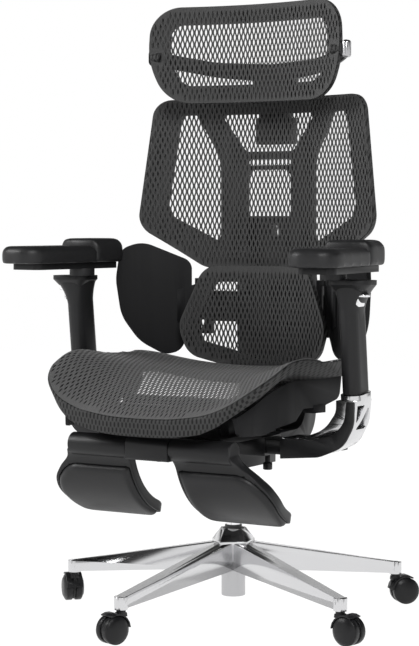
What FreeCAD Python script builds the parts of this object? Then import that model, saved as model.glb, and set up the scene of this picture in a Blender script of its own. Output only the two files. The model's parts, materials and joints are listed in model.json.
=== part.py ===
import FreeCAD, Part
import math
import os
from FreeCAD import Vector

# Reclining office chair with a footrest. Millimetres, +Z up, the sitter faces -Y, and the sitter's
# left hand is at +X. The origin is on the swivel axis at floor level.

# Fits and gaps between pieces
RUN = 0.05
SLIDE = 0.3
SEAT_GAP = 0.2

# Five star base and casters
caster_circle_r = 345.0
leg_count = 5
first_leg_deg = 118.9
leg_root_bottom = 92.0
leg_root_top = 148.0
leg_root_width = 40.0
leg_tip_bottom = 64.0
leg_tip_top = 86.0
leg_tip_width = 21.0
leg_tip_boss_r = 13.0
hub_core_r = 33.0
hub_cone_low_r = 44.7
hub_cone_high_r = 26.0
hub_cone_height = 24.0
wheel_r = 27.0
wheel_width = 17.5
wheel_gap = 6.0
wheel_trail = 20.0
axle_r = 4.0
stem_r = 5.5
stem_collar_r = 9.0
stem_collar_height = 5.0
caster_trail_deg = (120.0, 135.0, -110.0, -10.0, 45.0)

# Gas lift
stand_tube_r = 23.7
stand_tube_wall = 2.7
stand_tube_bottom = 37.0
pressure_tube_r = 14.0
pressure_tube_wall = 2.0
pressure_tube_bottom = 62.0
piston_rod_r = 5.0
lift_travel = 80.0

# Tilt mechanism under the seat
housing_half_width = 60.0
housing_front = -116.0
housing_back = 72.0
housing_bottom = 300.0
housing_top = 360.0
housing_wall = 5.0
cover_thickness = 4.0
boss_end_x = 133.0
arm_beam_end_x = 170.0
arm_beam_front = -108.0
arm_beam_back = -52.0
arm_beam_bottom = 338.0
arm_beam_top = 366.0
boss_wall = 4.0
recline_pivot_y = 55.0
recline_pivot_z = 340.0
recline_shaft_r = 8.0
seat_pivot_y = -100.0
seat_pivot_z = 388.0
seat_pin_r = 5.0
knob_r = 23.0
lever_r = 4.5
lever_z = 345.0
height_lever_y = -20.0
recline_lever_y = 20.0
lever_reach_x = 238.0

# Seat
seat_half_width = 255.0
seat_front = -350.0
seat_back = 60.0
seat_corner_front_r = 85.0
seat_corner_back_r = 60.0
seat_rim_z = 475.0
seat_side_rise = 30.0
seat_front_drop = 72.0
seat_drop_start = -100.0
seat_frame_above = 12.0
seat_frame_below = 20.0
seat_frame_band = 40.0
mesh_thickness = 2.0
carrier_half_width = 90.0
carrier_bottom = 402.0
carrier_thickness = 8.0
cross_member_bottom = 416.0
cross_member_height = 15.0
seat_depth_travel = 50.0
skirt_thickness = 9.0

# Footrest
foot_axis_y = -302.0
foot_axis_z = 360.0
foot_bar_r = 8.0
foot_sleeve_r = 21.5
foot_block_half = 46.0
foot_sleeve_end_x = 173.0
foot_tilt_deg = 33.0
foot_pad_length = 158.0
foot_pad_inner_x = 47.5
foot_pad_outer_x = 246.0
foot_cushion_depth = 21.0
foot_shell_depth = 28.0
foot_rim = 5.0
rail_half_width = 137.0
rail_bottom = 371.0
rail_top = 383.0
rail_front = -280.0
rail_back = -125.0
carriage_half_width = 100.0
carriage_bottom = 375.0
carriage_top = 379.0
foot_travel = 110.0

# Back
spine_half_width = 80.0
spine_top = 790.0
spine_front_y = 166.0
spine_thickness = 28.0
back_bottom = 678.0
back_top = 1029.0
back_top_half = 239.0
back_low_half = 272.0
back_low_z = 768.0
back_centre_y = 140.0
back_wrap = 70.0
back_frame_depth = 16.0
back_side_band = 50.0
back_top_band = 32.0
stripe_inner_x = 52.0
stripe_outer_x = 106.0
back_travel = 50.0
slider_half = 9.0

# Lumbar pad and side wings
lumbar_half_width = 169.0
lumbar_centre_y = 97.0
lumbar_wrap = 34.0
lumbar_depth = 13.0
lumbar_travel = 10.0
wing_root = (152.0, 100.0)
wing_tip = (285.0, 12.0)
wing_thickness = 10.0
wing_bulge = 10.0
wing_barrel_r = 7.0

# Headrest
head_half_width = 217.0
head_top = 1212.0
head_height = 197.0
head_bottom = head_top - head_height
head_low_inset = 33.0
head_centre_y = 80.0
head_wrap = 52.0
head_frame_depth = 11.0
head_band = 36.0
head_pivot_y = 40.0
head_pivot_z = head_top - 101.0
head_pin_r = 4.0
head_post_half = 14.0
head_post_y = 164.0
head_post_depth = 14.0
head_travel = 50.0
yoke_centre_y = 156.0
yoke_thickness = 8.0

# Armrests
arm_x = 305.0
arm_foot_y = -70.0
arm_foot_z = 452.0
arm_lean_deg = 6.5
bracket_front = -113.0
bracket_back = -47.0
trim_thickness = 7.0
post_size = (24.0, 44.0)
sleeve_size = (38.0, 60.0)
collar_size = (46.0, 68.0)
collar_height = 7.0
post_length = 165.0
sleeve_top = 204.0
cap_bottom_z = 655.0
cap_top_z = 671.0
turntable_x = 281.0
turntable_y = -118.0
turntable_r = 25.0
tray_bottom_z = 685.0
tray_thickness = 12.0
arm_travel = 80.0
pad_length = 295.0
pad_width = 100.0
pad_thickness = 34.0
pad_centre = (305.0, -150.0)
pad_corner_r = 32.0
pad_toe_deg = 6.0
elbow_length = 108.0
elbow_rise = 14.0
pad_edge_r = 9.0


os.makedirs("parts", exist_ok=True)


def save(node, *solids):
    """Writes one sub-part, one solid or a group of separate solids."""
    shape = solids[0] if len(solids) == 1 else Part.makeCompound(list(solids))
    shape.exportStep("parts/" + node + ".step")


def fuse(first, *others):
    """Joins solids into one and clears the seams between their faces."""
    joined = first.multiFuse(list(others)).removeSplitter()
    return joined.Solids[0] if len(joined.Solids) == 1 else joined


def only(shape):
    """The single solid that a cut or an intersection leaves, or its largest one."""
    return max(shape.Solids, key=lambda solid: solid.Volume)


def block(x0, x1, y0, y1, z0, z1):
    """A box between two corners."""
    return Part.makeBox(x1 - x0, y1 - y0, z1 - z0, Vector(x0, y0, z0))


def rod(r, start, end):
    """A round bar between two points."""
    along = end - start
    return Part.makeCylinder(r, along.Length, start, along)


def ring(outer, inner, z0, z1, x=0.0, y=0.0):
    """An upright tube."""
    low = Vector(x, y, z0)
    high = Vector(x, y, z1)
    return rod(outer, low, high).cut(rod(inner, low, high))


class Sheet:
    """A drawing plane: u and v lie in it, n stands out of it."""

    def __init__(self, origin, u, v, n):
        self.origin = origin
        self.u = u
        self.v = v
        self.n = n

    def at(self, u, v, h=0.0):
        return self.origin + self.u * u + self.v * v + self.n * h


AXIS_X = Vector(1, 0, 0)
AXIS_Y = Vector(0, 1, 0)
AXIS_Z = Vector(0, 0, 1)
ORIGIN = Vector(0, 0, 0)
FRONT = Sheet(ORIGIN, AXIS_X, AXIS_Z, AXIS_Y)
PLAN = Sheet(ORIGIN, AXIS_X, AXIS_Y, AXIS_Z)
SIDE = Sheet(ORIGIN, AXIS_Y, AXIS_Z, AXIS_X)


def outline(sheet, corners, h=0.0):
    """A closed wire through corners (u, v, radius), with each corner rounded by its radius."""
    count = len(corners)
    spots = []
    for i, (u, v, r) in enumerate(corners):
        here = Vector(u, v, 0)
        before = Vector(corners[i - 1][0], corners[i - 1][1], 0) - here
        after = Vector(corners[(i + 1) % count][0], corners[(i + 1) % count][1], 0) - here
        if r <= 0:
            spots.append((here, None, here))
            continue
        turn = before.getAngle(after)
        reach = r / math.tan(turn / 2)
        middle = Vector(before).normalize() + Vector(after).normalize()
        middle.normalize()
        centre = here + middle * (r / math.sin(turn / 2))
        start = here + Vector(before).normalize() * reach
        end = here + Vector(after).normalize() * reach
        spots.append((start, centre - middle * r, end))
    edges = []
    for i, (start, middle, end) in enumerate(spots):
        if middle is not None:
            points = [sheet.at(p.x, p.y, h) for p in (start, middle, end)]
            edges.append(Part.Arc(*points).toShape())
        goal = spots[(i + 1) % count][0]
        if end.distanceToPoint(goal) > 1e-6:
            edges.append(Part.LineSegment(sheet.at(end.x, end.y, h), sheet.at(goal.x, goal.y, h)).toShape())
    return Part.Wire(edges)


def plate(sheet, corners, h0, h1):
    """A straight plate with a rounded outline, from h0 to h1 along the sheet's normal."""
    return Part.Face(outline(sheet, corners, h0)).extrude(sheet.n * (h1 - h0))


def both_sides(half):
    """A closed outline from its right half, given from the top down. A corner at u = 0 is used once."""
    return list(half) + [(-u, v, r) for u, v, r in reversed(half) if u != 0]


def frustum(low, high):
    """A solid with flat sides between two outlines of as many points, one above or beyond the other."""
    count = len(low)
    faces = [Part.Face(Part.makePolygon(ring_points + ring_points[:1])) for ring_points in (low, high)]
    for i in range(count):
        j = (i + 1) % count
        faces.append(Part.Face(Part.makePolygon([low[i], low[j], high[j], high[i], low[i]])))
    return Part.makeSolid(Part.makeShell(faces))


def bowed(sheet, ends, v0, v1, depth, corners, holes=()):
    """A panel of even depth, bowed on one arc through three spots (u, h), cut to an outline with holes."""
    near = [sheet.at(u, v0, h) for u, h in ends]
    far = [sheet.at(u, v0, h + depth) for u, h in ends]
    edges = [Part.Arc(*near).toShape(), Part.LineSegment(near[2], far[2]).toShape(), Part.Arc(*far).toShape(),
             Part.LineSegment(far[0], near[0]).toShape()]
    slab = Part.Face(Part.Wire(edges)).extrude(sheet.v * (v1 - v0))
    low = min(h for u, h in ends) - 20
    high = max(h for u, h in ends) + depth + 20
    cut = plate(sheet, corners, low, high)
    for hole in holes:
        cut = cut.cut(plate(sheet, hole, low - 1, high + 1))
    return only(slab.common(cut))


def skin(sheet, height, us, vs):
    """A smooth face through the heights over a small grid."""
    surface = Part.BSplineSurface()
    surface.interpolate([[sheet.at(u, v, height(u, v)) for v in vs] for u in us])
    return surface.toShape()


def steps(low, high, count):
    """Evenly spaced values from low to high."""
    return [low + (high - low) * i / (count - 1) for i in range(count)]


def panel(sheet, height, us, vs, depth, corners, holes=()):
    """A curved panel of even depth behind a smooth face, cut to an outline with holes."""
    slab = skin(sheet, height, us, vs).extrude(sheet.n * depth)
    low = min(height(u, v) for u in us for v in vs) - 50
    high = max(height(u, v) for u in us for v in vs) + depth + 50
    cut = plate(sheet, corners, low, high)
    for hole in holes:
        cut = cut.cut(plate(sheet, hole, low - 1, high + 1))
    return only(slab.common(cut))


def inset(corners, by):
    """The same outline drawn in by a distance, for outlines that run round clockwise or not."""
    count = len(corners)
    area = sum(corners[i - 1][0] * corners[i][1] - corners[i][0] * corners[i - 1][1] for i in range(count))
    way = 1 if area > 0 else -1
    moved = []
    for i, (u, v, r) in enumerate(corners):
        here = Vector(u, v, 0)
        into = (here - Vector(corners[i - 1][0], corners[i - 1][1], 0)).normalize()
        out = (Vector(corners[(i + 1) % count][0], corners[(i + 1) % count][1], 0) - here).normalize()
        side_in = Vector(-into.y, into.x, 0) * way
        side_out = Vector(-out.y, out.x, 0) * way
        middle = (side_in + side_out).normalize()
        shift = middle * (by / middle.dot(side_in))
        corner = here + shift
        moved.append((corner.x, corner.y, max(r - by, 1.0) if r > 0 else 0))
    return moved


def mirrored(shape):
    """The other side's copy of a handed piece."""
    return shape.mirror(ORIGIN, AXIS_X)


def turned(shape, deg, x=0.0, y=0.0):
    """A copy turned about an upright axis."""
    copy = shape.copy()
    copy.rotate(Vector(x, y, 0), AXIS_Z, deg)
    return copy


# Star base: hub with a faceted cone and five tapered legs
def leg_section(reach, width, low, high):
    half = width / 2
    return [Vector(reach, -half, low), Vector(reach, half, low), Vector(reach, half, high), Vector(reach, -half, high)]


def leg():
    beam = frustum(leg_section(10.0, leg_root_width, leg_root_bottom, leg_root_top),
                   leg_section(caster_circle_r + 2, leg_tip_width, leg_tip_bottom, leg_tip_top))
    boss = rod(leg_tip_boss_r, Vector(caster_circle_r, 0, leg_tip_bottom - 2),
               Vector(caster_circle_r, 0, leg_tip_top))
    return beam, boss


def pentagon(r, z):
    return [Vector(r * math.cos(math.radians(a)), r * math.sin(math.radians(a)), z)
            for a in (first_leg_deg + 72 * k for k in range(5))]


def star_base():
    hub = rod(hub_core_r, Vector(0, 0, leg_root_bottom), Vector(0, 0, leg_root_top))
    cone = frustum(pentagon(hub_cone_low_r, leg_root_top), pentagon(hub_cone_high_r, leg_root_top + hub_cone_height))
    lip = frustum(pentagon(hub_cone_low_r, leg_root_top - 6), pentagon(hub_cone_low_r, leg_root_top))
    pieces = [cone, lip]
    for k in range(leg_count):
        pieces += [turned(part, first_leg_deg + 72 * k) for part in leg()]
    star = fuse(hub, *pieces)
    star = star.cut(rod(stand_tube_r, Vector(0, 0, 0), Vector(0, 0, 300)))
    for k in range(leg_count):
        hole = rod(stem_r + RUN, Vector(caster_circle_r, 0, 40), Vector(caster_circle_r, 0, leg_tip_top - 4))
        star = star.cut(turned(hole, first_leg_deg + 72 * k))
    return only(star)


save("star_base", star_base())

# Gas lift: stand tube and bush in the hub, a piston rod that turns on a bearing, and the pressure tube
hub_top = leg_root_top + hub_cone_height
tube_floor = stand_tube_bottom + 4
bore_r = stand_tube_r - stand_tube_wall
stand_tube = rod(stand_tube_r, Vector(0, 0, stand_tube_bottom), Vector(0, 0, hub_top))
stand_tube = stand_tube.cut(rod(bore_r, Vector(0, 0, tube_floor), Vector(0, 0, hub_top + 1)))
stand_tube = stand_tube.cut(rod(piston_rod_r + RUN, Vector(0, 0, 0), Vector(0, 0, hub_top)))
save("stand_tube", stand_tube)

bush_bottom = hub_top - 75
bush_collar_r = pressure_tube_r + 3
tube_bush = ring(bore_r, pressure_tube_r + RUN, bush_bottom, hub_top)
save("tube_bush", fuse(tube_bush, ring(bush_collar_r, pressure_tube_r + RUN, hub_top, hub_top + 6)))

bearing_top = tube_floor + 6
save("thrust_bearing", ring(bore_r - 4, piston_rod_r + RUN, tube_floor, bearing_top))

gland_top = pressure_tube_bottom + 10
piston_low = gland_top + lift_travel + 3
piston = fuse(rod(piston_rod_r, Vector(0, 0, stand_tube_bottom), Vector(0, 0, piston_low)),
              rod(pressure_tube_r - 2, Vector(0, 0, bearing_top), Vector(0, 0, bearing_top + 4)),
              rod(pressure_tube_r - pressure_tube_wall - RUN, Vector(0, 0, piston_low), Vector(0, 0, piston_low + 10)))
save("piston_rod", piston)

tube_top = housing_bottom + 42
pressure_tube = rod(pressure_tube_r, Vector(0, 0, pressure_tube_bottom), Vector(0, 0, tube_top))
cavity = rod(pressure_tube_r - pressure_tube_wall, Vector(0, 0, gland_top), Vector(0, 0, tube_top - 12))
pressure_tube = pressure_tube.cut(cavity)
pressure_tube = pressure_tube.cut(rod(piston_rod_r + RUN, Vector(0, 0, 0), Vector(0, 0, gland_top + 1)))
save("pressure_tube", pressure_tube)


# Casters: a hood with its stem, and a pair of wheels pressed on one axle that turns in the hood
def facets(r, sides, y, first=0.0, sweep=360.0):
    """Points on a circle about the caster's axle, for parts that repeat and stay light."""
    count = sides if sweep == 360.0 else sides + 1
    return [Vector(r * math.cos(math.radians(first + sweep * i / sides)), y,
                   wheel_r + r * math.sin(math.radians(first + sweep * i / sides))) for i in range(count)]


def caster_fork():
    half = wheel_gap / 2 - SLIDE
    hood_r = wheel_r - 2.0
    top = leg_tip_bottom - 2 - stem_collar_height - 0.5
    web = frustum(facets(hood_r, 16, -half), facets(hood_r, 16, half))
    reach = wheel_gap / 2 + wheel_width - 4
    outer = facets(wheel_r + 4, 6, -reach, 62.0, 112.0)
    inner = facets(wheel_r + 1.2, 6, -reach, 62.0, 112.0)
    arch = Part.Face(Part.makePolygon(outer + inner[::-1] + outer[:1])).extrude(AXIS_Y * (2 * reach))
    neck = plate(PLAN, [(-wheel_trail - 9, -half, 0), (-wheel_trail + 9, -half, 0), (-wheel_trail + 9, half, 0),
                        (-wheel_trail - 9, half, 0)], wheel_r + 8, top)
    seat = frustum([Vector(-wheel_trail + x, y, wheel_r + 22) for x, y in ((-9, -8), (9, -8), (9, 8), (-9, 8))],
                   [Vector(-wheel_trail + x, y, top) for x, y in ((-8, -8), (8, -8), (8, 8), (-8, 8))])
    stem = rod(stem_r, Vector(-wheel_trail, 0, wheel_r + 24), Vector(-wheel_trail, 0, leg_tip_top - 6))
    collar = frustum(collar_points(top), collar_points(top + stem_collar_height))
    fork = fuse(web, arch, neck, seat.cut(frustum(facets(wheel_r + 1.2, 16, -9), facets(wheel_r + 1.2, 16, 9))), stem,
                collar)
    return only(fork.cut(rod(axle_r + RUN, Vector(0, -60, wheel_r), Vector(0, 60, wheel_r))))


def collar_points(z):
    return [Vector(-wheel_trail + stem_collar_r * math.cos(math.radians(30 * i)),
                   stem_collar_r * math.sin(math.radians(30 * i)), z) for i in range(12)]


def caster_wheels():
    sides = 32
    parts = [rod(axle_r, Vector(0, -wheel_gap, wheel_r), Vector(0, wheel_gap, wheel_r))]
    for side in (-1, 1):
        inner = side * wheel_gap / 2
        outer = inner + side * wheel_width
        parts.append(frustum(facets(wheel_r, sides, inner), facets(wheel_r, sides, outer - side * 5)))
        parts.append(frustum(facets(wheel_r, sides, outer - side * 5), facets(wheel_r - 9, sides, outer)))
    return fuse(*parts)


def on_caster(shape, k):
    """Places a caster piece, drawn about its axle along Y, under leg k and turned to its trail."""
    copy = shape.copy()
    copy.translate(Vector(wheel_trail, 0, 0))
    copy.rotate(ORIGIN, AXIS_Z, caster_trail_deg[k])
    angle = math.radians(first_leg_deg + 72 * k)
    copy.translate(Vector(caster_circle_r * math.cos(angle), caster_circle_r * math.sin(angle), 0))
    return copy


for k in range(leg_count):
    save("caster_" + str(k + 1) + "_fork", on_caster(caster_fork(), k))
    save("caster_" + str(k + 1) + "_wheels", on_caster(caster_wheels(), k))

# Tilt housing: an open pan with the tube socket, two arm sockets and the recline shaft bosses
beam_size = (arm_beam_front, arm_beam_back, arm_beam_bottom, arm_beam_top)
boss_box = (arm_beam_front - boss_wall, arm_beam_back + boss_wall, arm_beam_bottom - boss_wall,
            arm_beam_top + boss_wall)
pan = plate(PLAN, [(-housing_half_width, housing_front, 0), (housing_half_width, housing_front, 0),
                   (housing_half_width, housing_back, 10), (-housing_half_width, housing_back, 10)],
            housing_bottom, housing_top)
pan = pan.cut(plate(PLAN, inset([(-housing_half_width, housing_front, 0), (housing_half_width, housing_front, 0),
                                 (housing_half_width, housing_back, 10), (-housing_half_width, housing_back, 10)],
                                housing_wall), housing_bottom + housing_wall, housing_top + 1))
socket_boss = rod(pressure_tube_r + 7, Vector(0, 0, housing_bottom), Vector(0, 0, tube_top))
arm_bosses = [block(side * housing_half_width - (housing_wall if side > 0 else boss_end_x - housing_half_width),
                    side * housing_half_width + (boss_end_x - housing_half_width if side > 0 else housing_wall),
                    *boss_box) for side in (-1, 1)]
pivot_bosses = [rod(recline_shaft_r + 7, Vector(side * (housing_half_width - 12), recline_pivot_y, recline_pivot_z),
                    Vector(side * housing_half_width, recline_pivot_y, recline_pivot_z)) for side in (-1, 1)]
housing = fuse(pan, socket_boss, *arm_bosses, *pivot_bosses)
housing = housing.cut(rod(pressure_tube_r, Vector(0, 0, 0), Vector(0, 0, tube_top + 1)))
housing = housing.cut(block(-boss_end_x - 1, boss_end_x + 1, *beam_size))
housing = housing.cut(rod(recline_shaft_r, Vector(-100, recline_pivot_y, recline_pivot_z),
                          Vector(100, recline_pivot_y, recline_pivot_z)))
housing = housing.cut(rod(lever_r + RUN, Vector(-100, height_lever_y, lever_z), Vector(0, height_lever_y, lever_z)))
housing = housing.cut(rod(lever_r + RUN, Vector(0, recline_lever_y, lever_z), Vector(100, recline_lever_y, lever_z)))
knob_y = -78.0
knob_spindle_r = 6.0
housing = housing.cut(rod(knob_spindle_r + RUN, Vector(0, knob_y, 250), Vector(0, knob_y, housing_bottom + 10)))
save("tilt_housing", only(housing))

# Housing cover with the two lugs that carry the seat's front pivot
lug_x0 = 26.0
lug_x1 = 38.0
cover_top = housing_top + cover_thickness
cover = plate(PLAN, [(-housing_half_width, arm_beam_back + boss_wall + SLIDE, 2),
                     (housing_half_width, arm_beam_back + boss_wall + SLIDE, 2),
                     (housing_half_width, housing_back, 10), (-housing_half_width, housing_back, 10)],
              housing_top, cover_top)
nose = plate(PLAN, [(-housing_half_width + 4, housing_front, 10), (housing_half_width - 4, housing_front, 10),
                    (housing_half_width - 4, arm_beam_back + 12, 0), (-housing_half_width + 4, arm_beam_back + 12, 0)],
             arm_beam_top + boss_wall, arm_beam_top + boss_wall + cover_thickness)
step = block(-housing_half_width + 4, housing_half_width - 4, arm_beam_back + boss_wall + SLIDE, arm_beam_back + 12,
             housing_top, arm_beam_top + boss_wall + cover_thickness)
lugs = [plate(SIDE, [(seat_pivot_y - 11, arm_beam_top + boss_wall, 0), (seat_pivot_y + 11, arm_beam_top + boss_wall, 0),
                     (seat_pivot_y + 11, seat_pivot_z + 9, 8), (seat_pivot_y - 11, seat_pivot_z + 9, 8)],
              side * lug_x0, side * lug_x1) for side in (-1, 1)]
cover = fuse(cover, nose, step, *lugs)
cover = cover.cut(rod(seat_pin_r, Vector(-60, seat_pivot_y, seat_pivot_z), Vector(60, seat_pivot_y, seat_pivot_z)))
save("housing_cover", only(cover))

# Recline shaft with a head at each end
shaft_end = housing_half_width + 22
recline_shaft = rod(recline_shaft_r, Vector(-shaft_end, recline_pivot_y, recline_pivot_z),
                    Vector(shaft_end, recline_pivot_y, recline_pivot_z))
heads = [rod(recline_shaft_r + 4, Vector(side * shaft_end, recline_pivot_y, recline_pivot_z),
             Vector(side * (shaft_end + 3), recline_pivot_y, recline_pivot_z)) for side in (-1, 1)]
save("recline_shaft", fuse(recline_shaft, *heads))

spring_r = 13.0
spring_x = 38.0
spring_z = housing_bottom + housing_wall + spring_r + SLIDE
tilt_springs = [rod(spring_r, Vector(side * spring_x, arm_beam_back + 8, spring_z),
                    Vector(side * spring_x, recline_pivot_y - recline_shaft_r - 8, spring_z)).cut(
                rod(spring_r - 5, Vector(side * spring_x, -200, spring_z), Vector(side * spring_x, 200, spring_z)))
                for side in (-1, 1)]
save("tilt_springs", *tilt_springs)

# Arm beam through the housing, with the bolts that clamp the brackets
bolt_x = 122.0
beam = block(-arm_beam_end_x, arm_beam_end_x, *beam_size)
bolts = [fuse(rod(5, Vector(side * bolt_x, -80, arm_beam_bottom - 28), Vector(side * bolt_x, -80, arm_beam_bottom - boss_wall)),
              rod(9, Vector(side * bolt_x, -80, arm_beam_bottom - 34), Vector(side * bolt_x, -80, arm_beam_bottom - 20)))
         for side in (-1, 1)]
save("arm_beam", beam, *bolts)

# Tension knob under the housing, with finger flutes
knob_top = housing_bottom - 1
knob = rod(knob_r, Vector(0, knob_y, knob_top - 26), Vector(0, knob_y, knob_top))
for k in range(8):
    angle = math.radians(45 * k)
    flute = Vector((knob_r + 3) * math.cos(angle), knob_y + (knob_r + 3) * math.sin(angle), knob_top - 30)
    knob = knob.cut(rod(6, flute, flute + AXIS_Z * 40))
knob = fuse(only(knob), rod(knob_spindle_r, Vector(0, knob_y, knob_top - 2), Vector(0, knob_y, housing_bottom + 24)))
save("tension_knob", knob)


# Two hand levers through the housing walls, each with a flat paddle
def lever(side, y):
    inside = side * (housing_half_width - housing_wall - 8)
    shaft = rod(lever_r, Vector(inside, y, lever_z), Vector(side * lever_reach_x, y, lever_z))
    x0, x1 = sorted((side * (lever_reach_x - 52), side * (lever_reach_x + 4)))
    paddle = plate(PLAN, [(x0, y - 22, 9), (x1, y - 22, 9), (x1, y + 9, 9), (x0, y + 9, 9)],
                   lever_z - lever_r - 1, lever_z + lever_r + 1)
    return fuse(shaft, paddle)


save("height_lever", lever(-1, height_lever_y))
save("recline_lever", lever(1, recline_lever_y))

# Seat carrier: pivots on the cover's lugs and carries the seat on its two edges
carrier_top = carrier_bottom + carrier_thickness
carrier_front = -150.0
carrier_back = 34.0
carrier = plate(PLAN, [(-carrier_half_width, carrier_front, 4), (carrier_half_width, carrier_front, 4),
                       (carrier_half_width, carrier_back, 4), (-carrier_half_width, carrier_back, 4)],
                carrier_bottom, carrier_top)
for slot_y in (-50.0, -5.0):
    carrier = carrier.cut(plate(PLAN, [(-55, slot_y - 14, 10), (55, slot_y - 14, 10), (55, slot_y + 14, 10),
                                       (-55, slot_y + 14, 10)], carrier_bottom - 1, carrier_top + 1))
ears = [plate(SIDE, [(seat_pivot_y - 10, seat_pivot_z - 9, 8), (seat_pivot_y + 10, seat_pivot_z - 9, 8),
                     (seat_pivot_y + 14, carrier_bottom, 0), (seat_pivot_y - 14, carrier_bottom, 0)],
              side * (lug_x1 + SLIDE), side * (lug_x1 + 10)) for side in (-1, 1)]
carrier = fuse(carrier, *ears)
pin = rod(seat_pin_r - RUN, Vector(-lug_x1 - 10, seat_pivot_y, seat_pivot_z), Vector(lug_x1 + 10, seat_pivot_y, seat_pivot_z))
save("seat_carrier", fuse(carrier, pin))


# Seat frame and mesh: a dished rim that falls away at the front
def seat_rim(x, y):
    ahead = max(0.0, seat_drop_start - y) / (seat_drop_start - seat_front)
    return seat_rim_z + seat_side_rise * (x / seat_half_width) ** 2 - seat_front_drop * ahead ** 2


seat_corners = both_sides([(seat_half_width - 22, seat_back, seat_corner_back_r),
                           (seat_half_width, -150.0, 300.0),
                           (seat_half_width - 14, seat_front + 12, seat_corner_front_r),
                           (70.0, seat_front, 300.0)])
seat_us = steps(-seat_half_width - 15, seat_half_width + 15, 7)
seat_vs = [seat_front - 15, -280.0, -220.0, -160.0, -100.0, -40.0, seat_back + 15]
seat_ring = panel(PLAN, lambda x, y: seat_rim(x, y) - seat_frame_below, seat_us, seat_vs,
                  seat_frame_above + seat_frame_below, seat_corners, [inset(seat_corners, seat_frame_band)])
save("seat_frame", seat_ring)
seat_mesh = panel(PLAN, lambda x, y: seat_rim(x, y) + seat_frame_above + SEAT_GAP, seat_us, seat_vs,
                  mesh_thickness, inset(seat_corners, 2.0))
save("seat_mesh", seat_mesh)

# Seat shell: side skirts, two cross members, the slide channels and the footrest brackets
skirt_side = [(-322.0, 470.0, 0), (-306.0, 392.0, 8), (-238.0, 390.0, 20), (-200.0, 399.0, 20), (-128.0, 406.0, 12),
              (-101.0, 427.0, 12), (-47.0, 426.0, 20), (8.0, 440.0, 20), (26.0, 520.0, 0), (-322.0, 520.0, 0)]
wall = plate(PLAN, inset(seat_corners, 1.0), 380.0, 520.0)
wall = wall.cut(plate(PLAN, inset(seat_corners, 1.0 + skirt_thickness), 379.0, 521.0))
wall = wall.common(plate(SIDE, skirt_side, -seat_half_width - 5, seat_half_width + 5))
above = skin(PLAN, lambda x, y: seat_rim(x, y) - seat_frame_below - SEAT_GAP, seat_us, seat_vs).extrude(AXIS_Z * 120)
wall = wall.cut(above)
wall = wall.cut(block(-150, 150, -400, 100, 300, 600))
skirts = sorted(wall.Solids, key=lambda solid: solid.Volume)[-2:]
member_top = cross_member_bottom + cross_member_height
member_x = seat_half_width - 1.0 - skirt_thickness + 2
front_member = (-235.0, -205.0)
rear_member = (-70.0, -40.0)
members = [block(-member_x, member_x, y0, y1, cross_member_bottom, member_top) for y0, y1 in (front_member, rear_member)]
channel_front = -238.0
channel_back = 4.0
channels = []
for side in (-1, 1):
    x0, x1 = sorted((side * (carrier_half_width - 9), side * (carrier_half_width + 9)))
    channel = block(x0, x1, channel_front, channel_back, carrier_bottom - 6, cross_member_bottom)
    s0, s1 = sorted((side * (carrier_half_width - 20), side * (carrier_half_width + SLIDE)))
    channels.append(channel.cut(block(s0, s1, channel_front - 1, channel_back + 1, carrier_bottom - SLIDE,
                                      carrier_top + SLIDE)))
wedges = [plate(SIDE, [(front_member[0], rail_top + 1, 3), (front_member[1], rail_top + 14, 3),
                       (front_member[1], cross_member_bottom, 0), (front_member[0], cross_member_bottom, 0)],
                side * 148.0, side * 214.0) for side in (-1, 1)]
hangers = [block(min(side * 108, side * 126), max(side * 108, side * 126), front_member[0], front_member[1],
                 rail_top, cross_member_bottom) for side in (-1, 1)]
shell = fuse(members[0], members[1], *channels, *wedges, *hangers, *skirts)
save("seat_shell", only(shell))

# Footrest guide: a flat case fixed under the front cross member
guide = plate(PLAN, [(-rail_half_width, rail_front, 6), (rail_half_width, rail_front, 6),
                     (rail_half_width, rail_back, 6), (-rail_half_width, rail_back, 6)], rail_bottom, rail_top)
guide = guide.cut(block(-carriage_half_width - SLIDE, carriage_half_width + SLIDE, rail_front - 1, rail_back + 1,
                        carriage_bottom - SLIDE, carriage_top + SLIDE))
save("footrest_guide", only(guide))

# Footrest carriage: sliding tongue, centre block and the bar that both pads turn on
tongue = plate(PLAN, [(-carriage_half_width, foot_axis_y, 0), (carriage_half_width, foot_axis_y, 0),
                      (carriage_half_width, rail_back - 5, 5), (-carriage_half_width, rail_back - 5, 5)],
               carriage_bottom, carriage_top)
tongue = tongue.cut(plate(PLAN, [(-70, -262, 12), (70, -262, 12), (70, -160, 12), (-70, -160, 12)],
                          carriage_bottom - 1, carriage_top + 1))
tongue = tongue.cut(block(foot_block_half, carriage_half_width + 1, foot_axis_y - 1, foot_axis_y + foot_sleeve_r + 1,
                          carriage_bottom - 1, carriage_top + 1))
tongue = tongue.cut(block(-carriage_half_width - 1, -foot_block_half, foot_axis_y - 1,
                          foot_axis_y + foot_sleeve_r + 1, carriage_bottom - 1, carriage_top + 1))
centre = plate(SIDE, [(foot_axis_y - foot_sleeve_r, foot_axis_z - foot_sleeve_r, 6),
                      (foot_axis_y + foot_sleeve_r, foot_axis_z - foot_sleeve_r, 6),
                      (foot_axis_y + foot_sleeve_r, foot_axis_z + foot_sleeve_r - 1, 3),
                      (foot_axis_y - foot_sleeve_r, foot_axis_z + foot_sleeve_r - 1, 14)],
               -foot_block_half, foot_block_half)
bar = rod(foot_bar_r, Vector(-foot_sleeve_end_x + 4, foot_axis_y, foot_axis_z),
          Vector(foot_sleeve_end_x - 4, foot_axis_y, foot_axis_z))
save("footrest_carriage", fuse(tongue, centre, bar))

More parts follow.
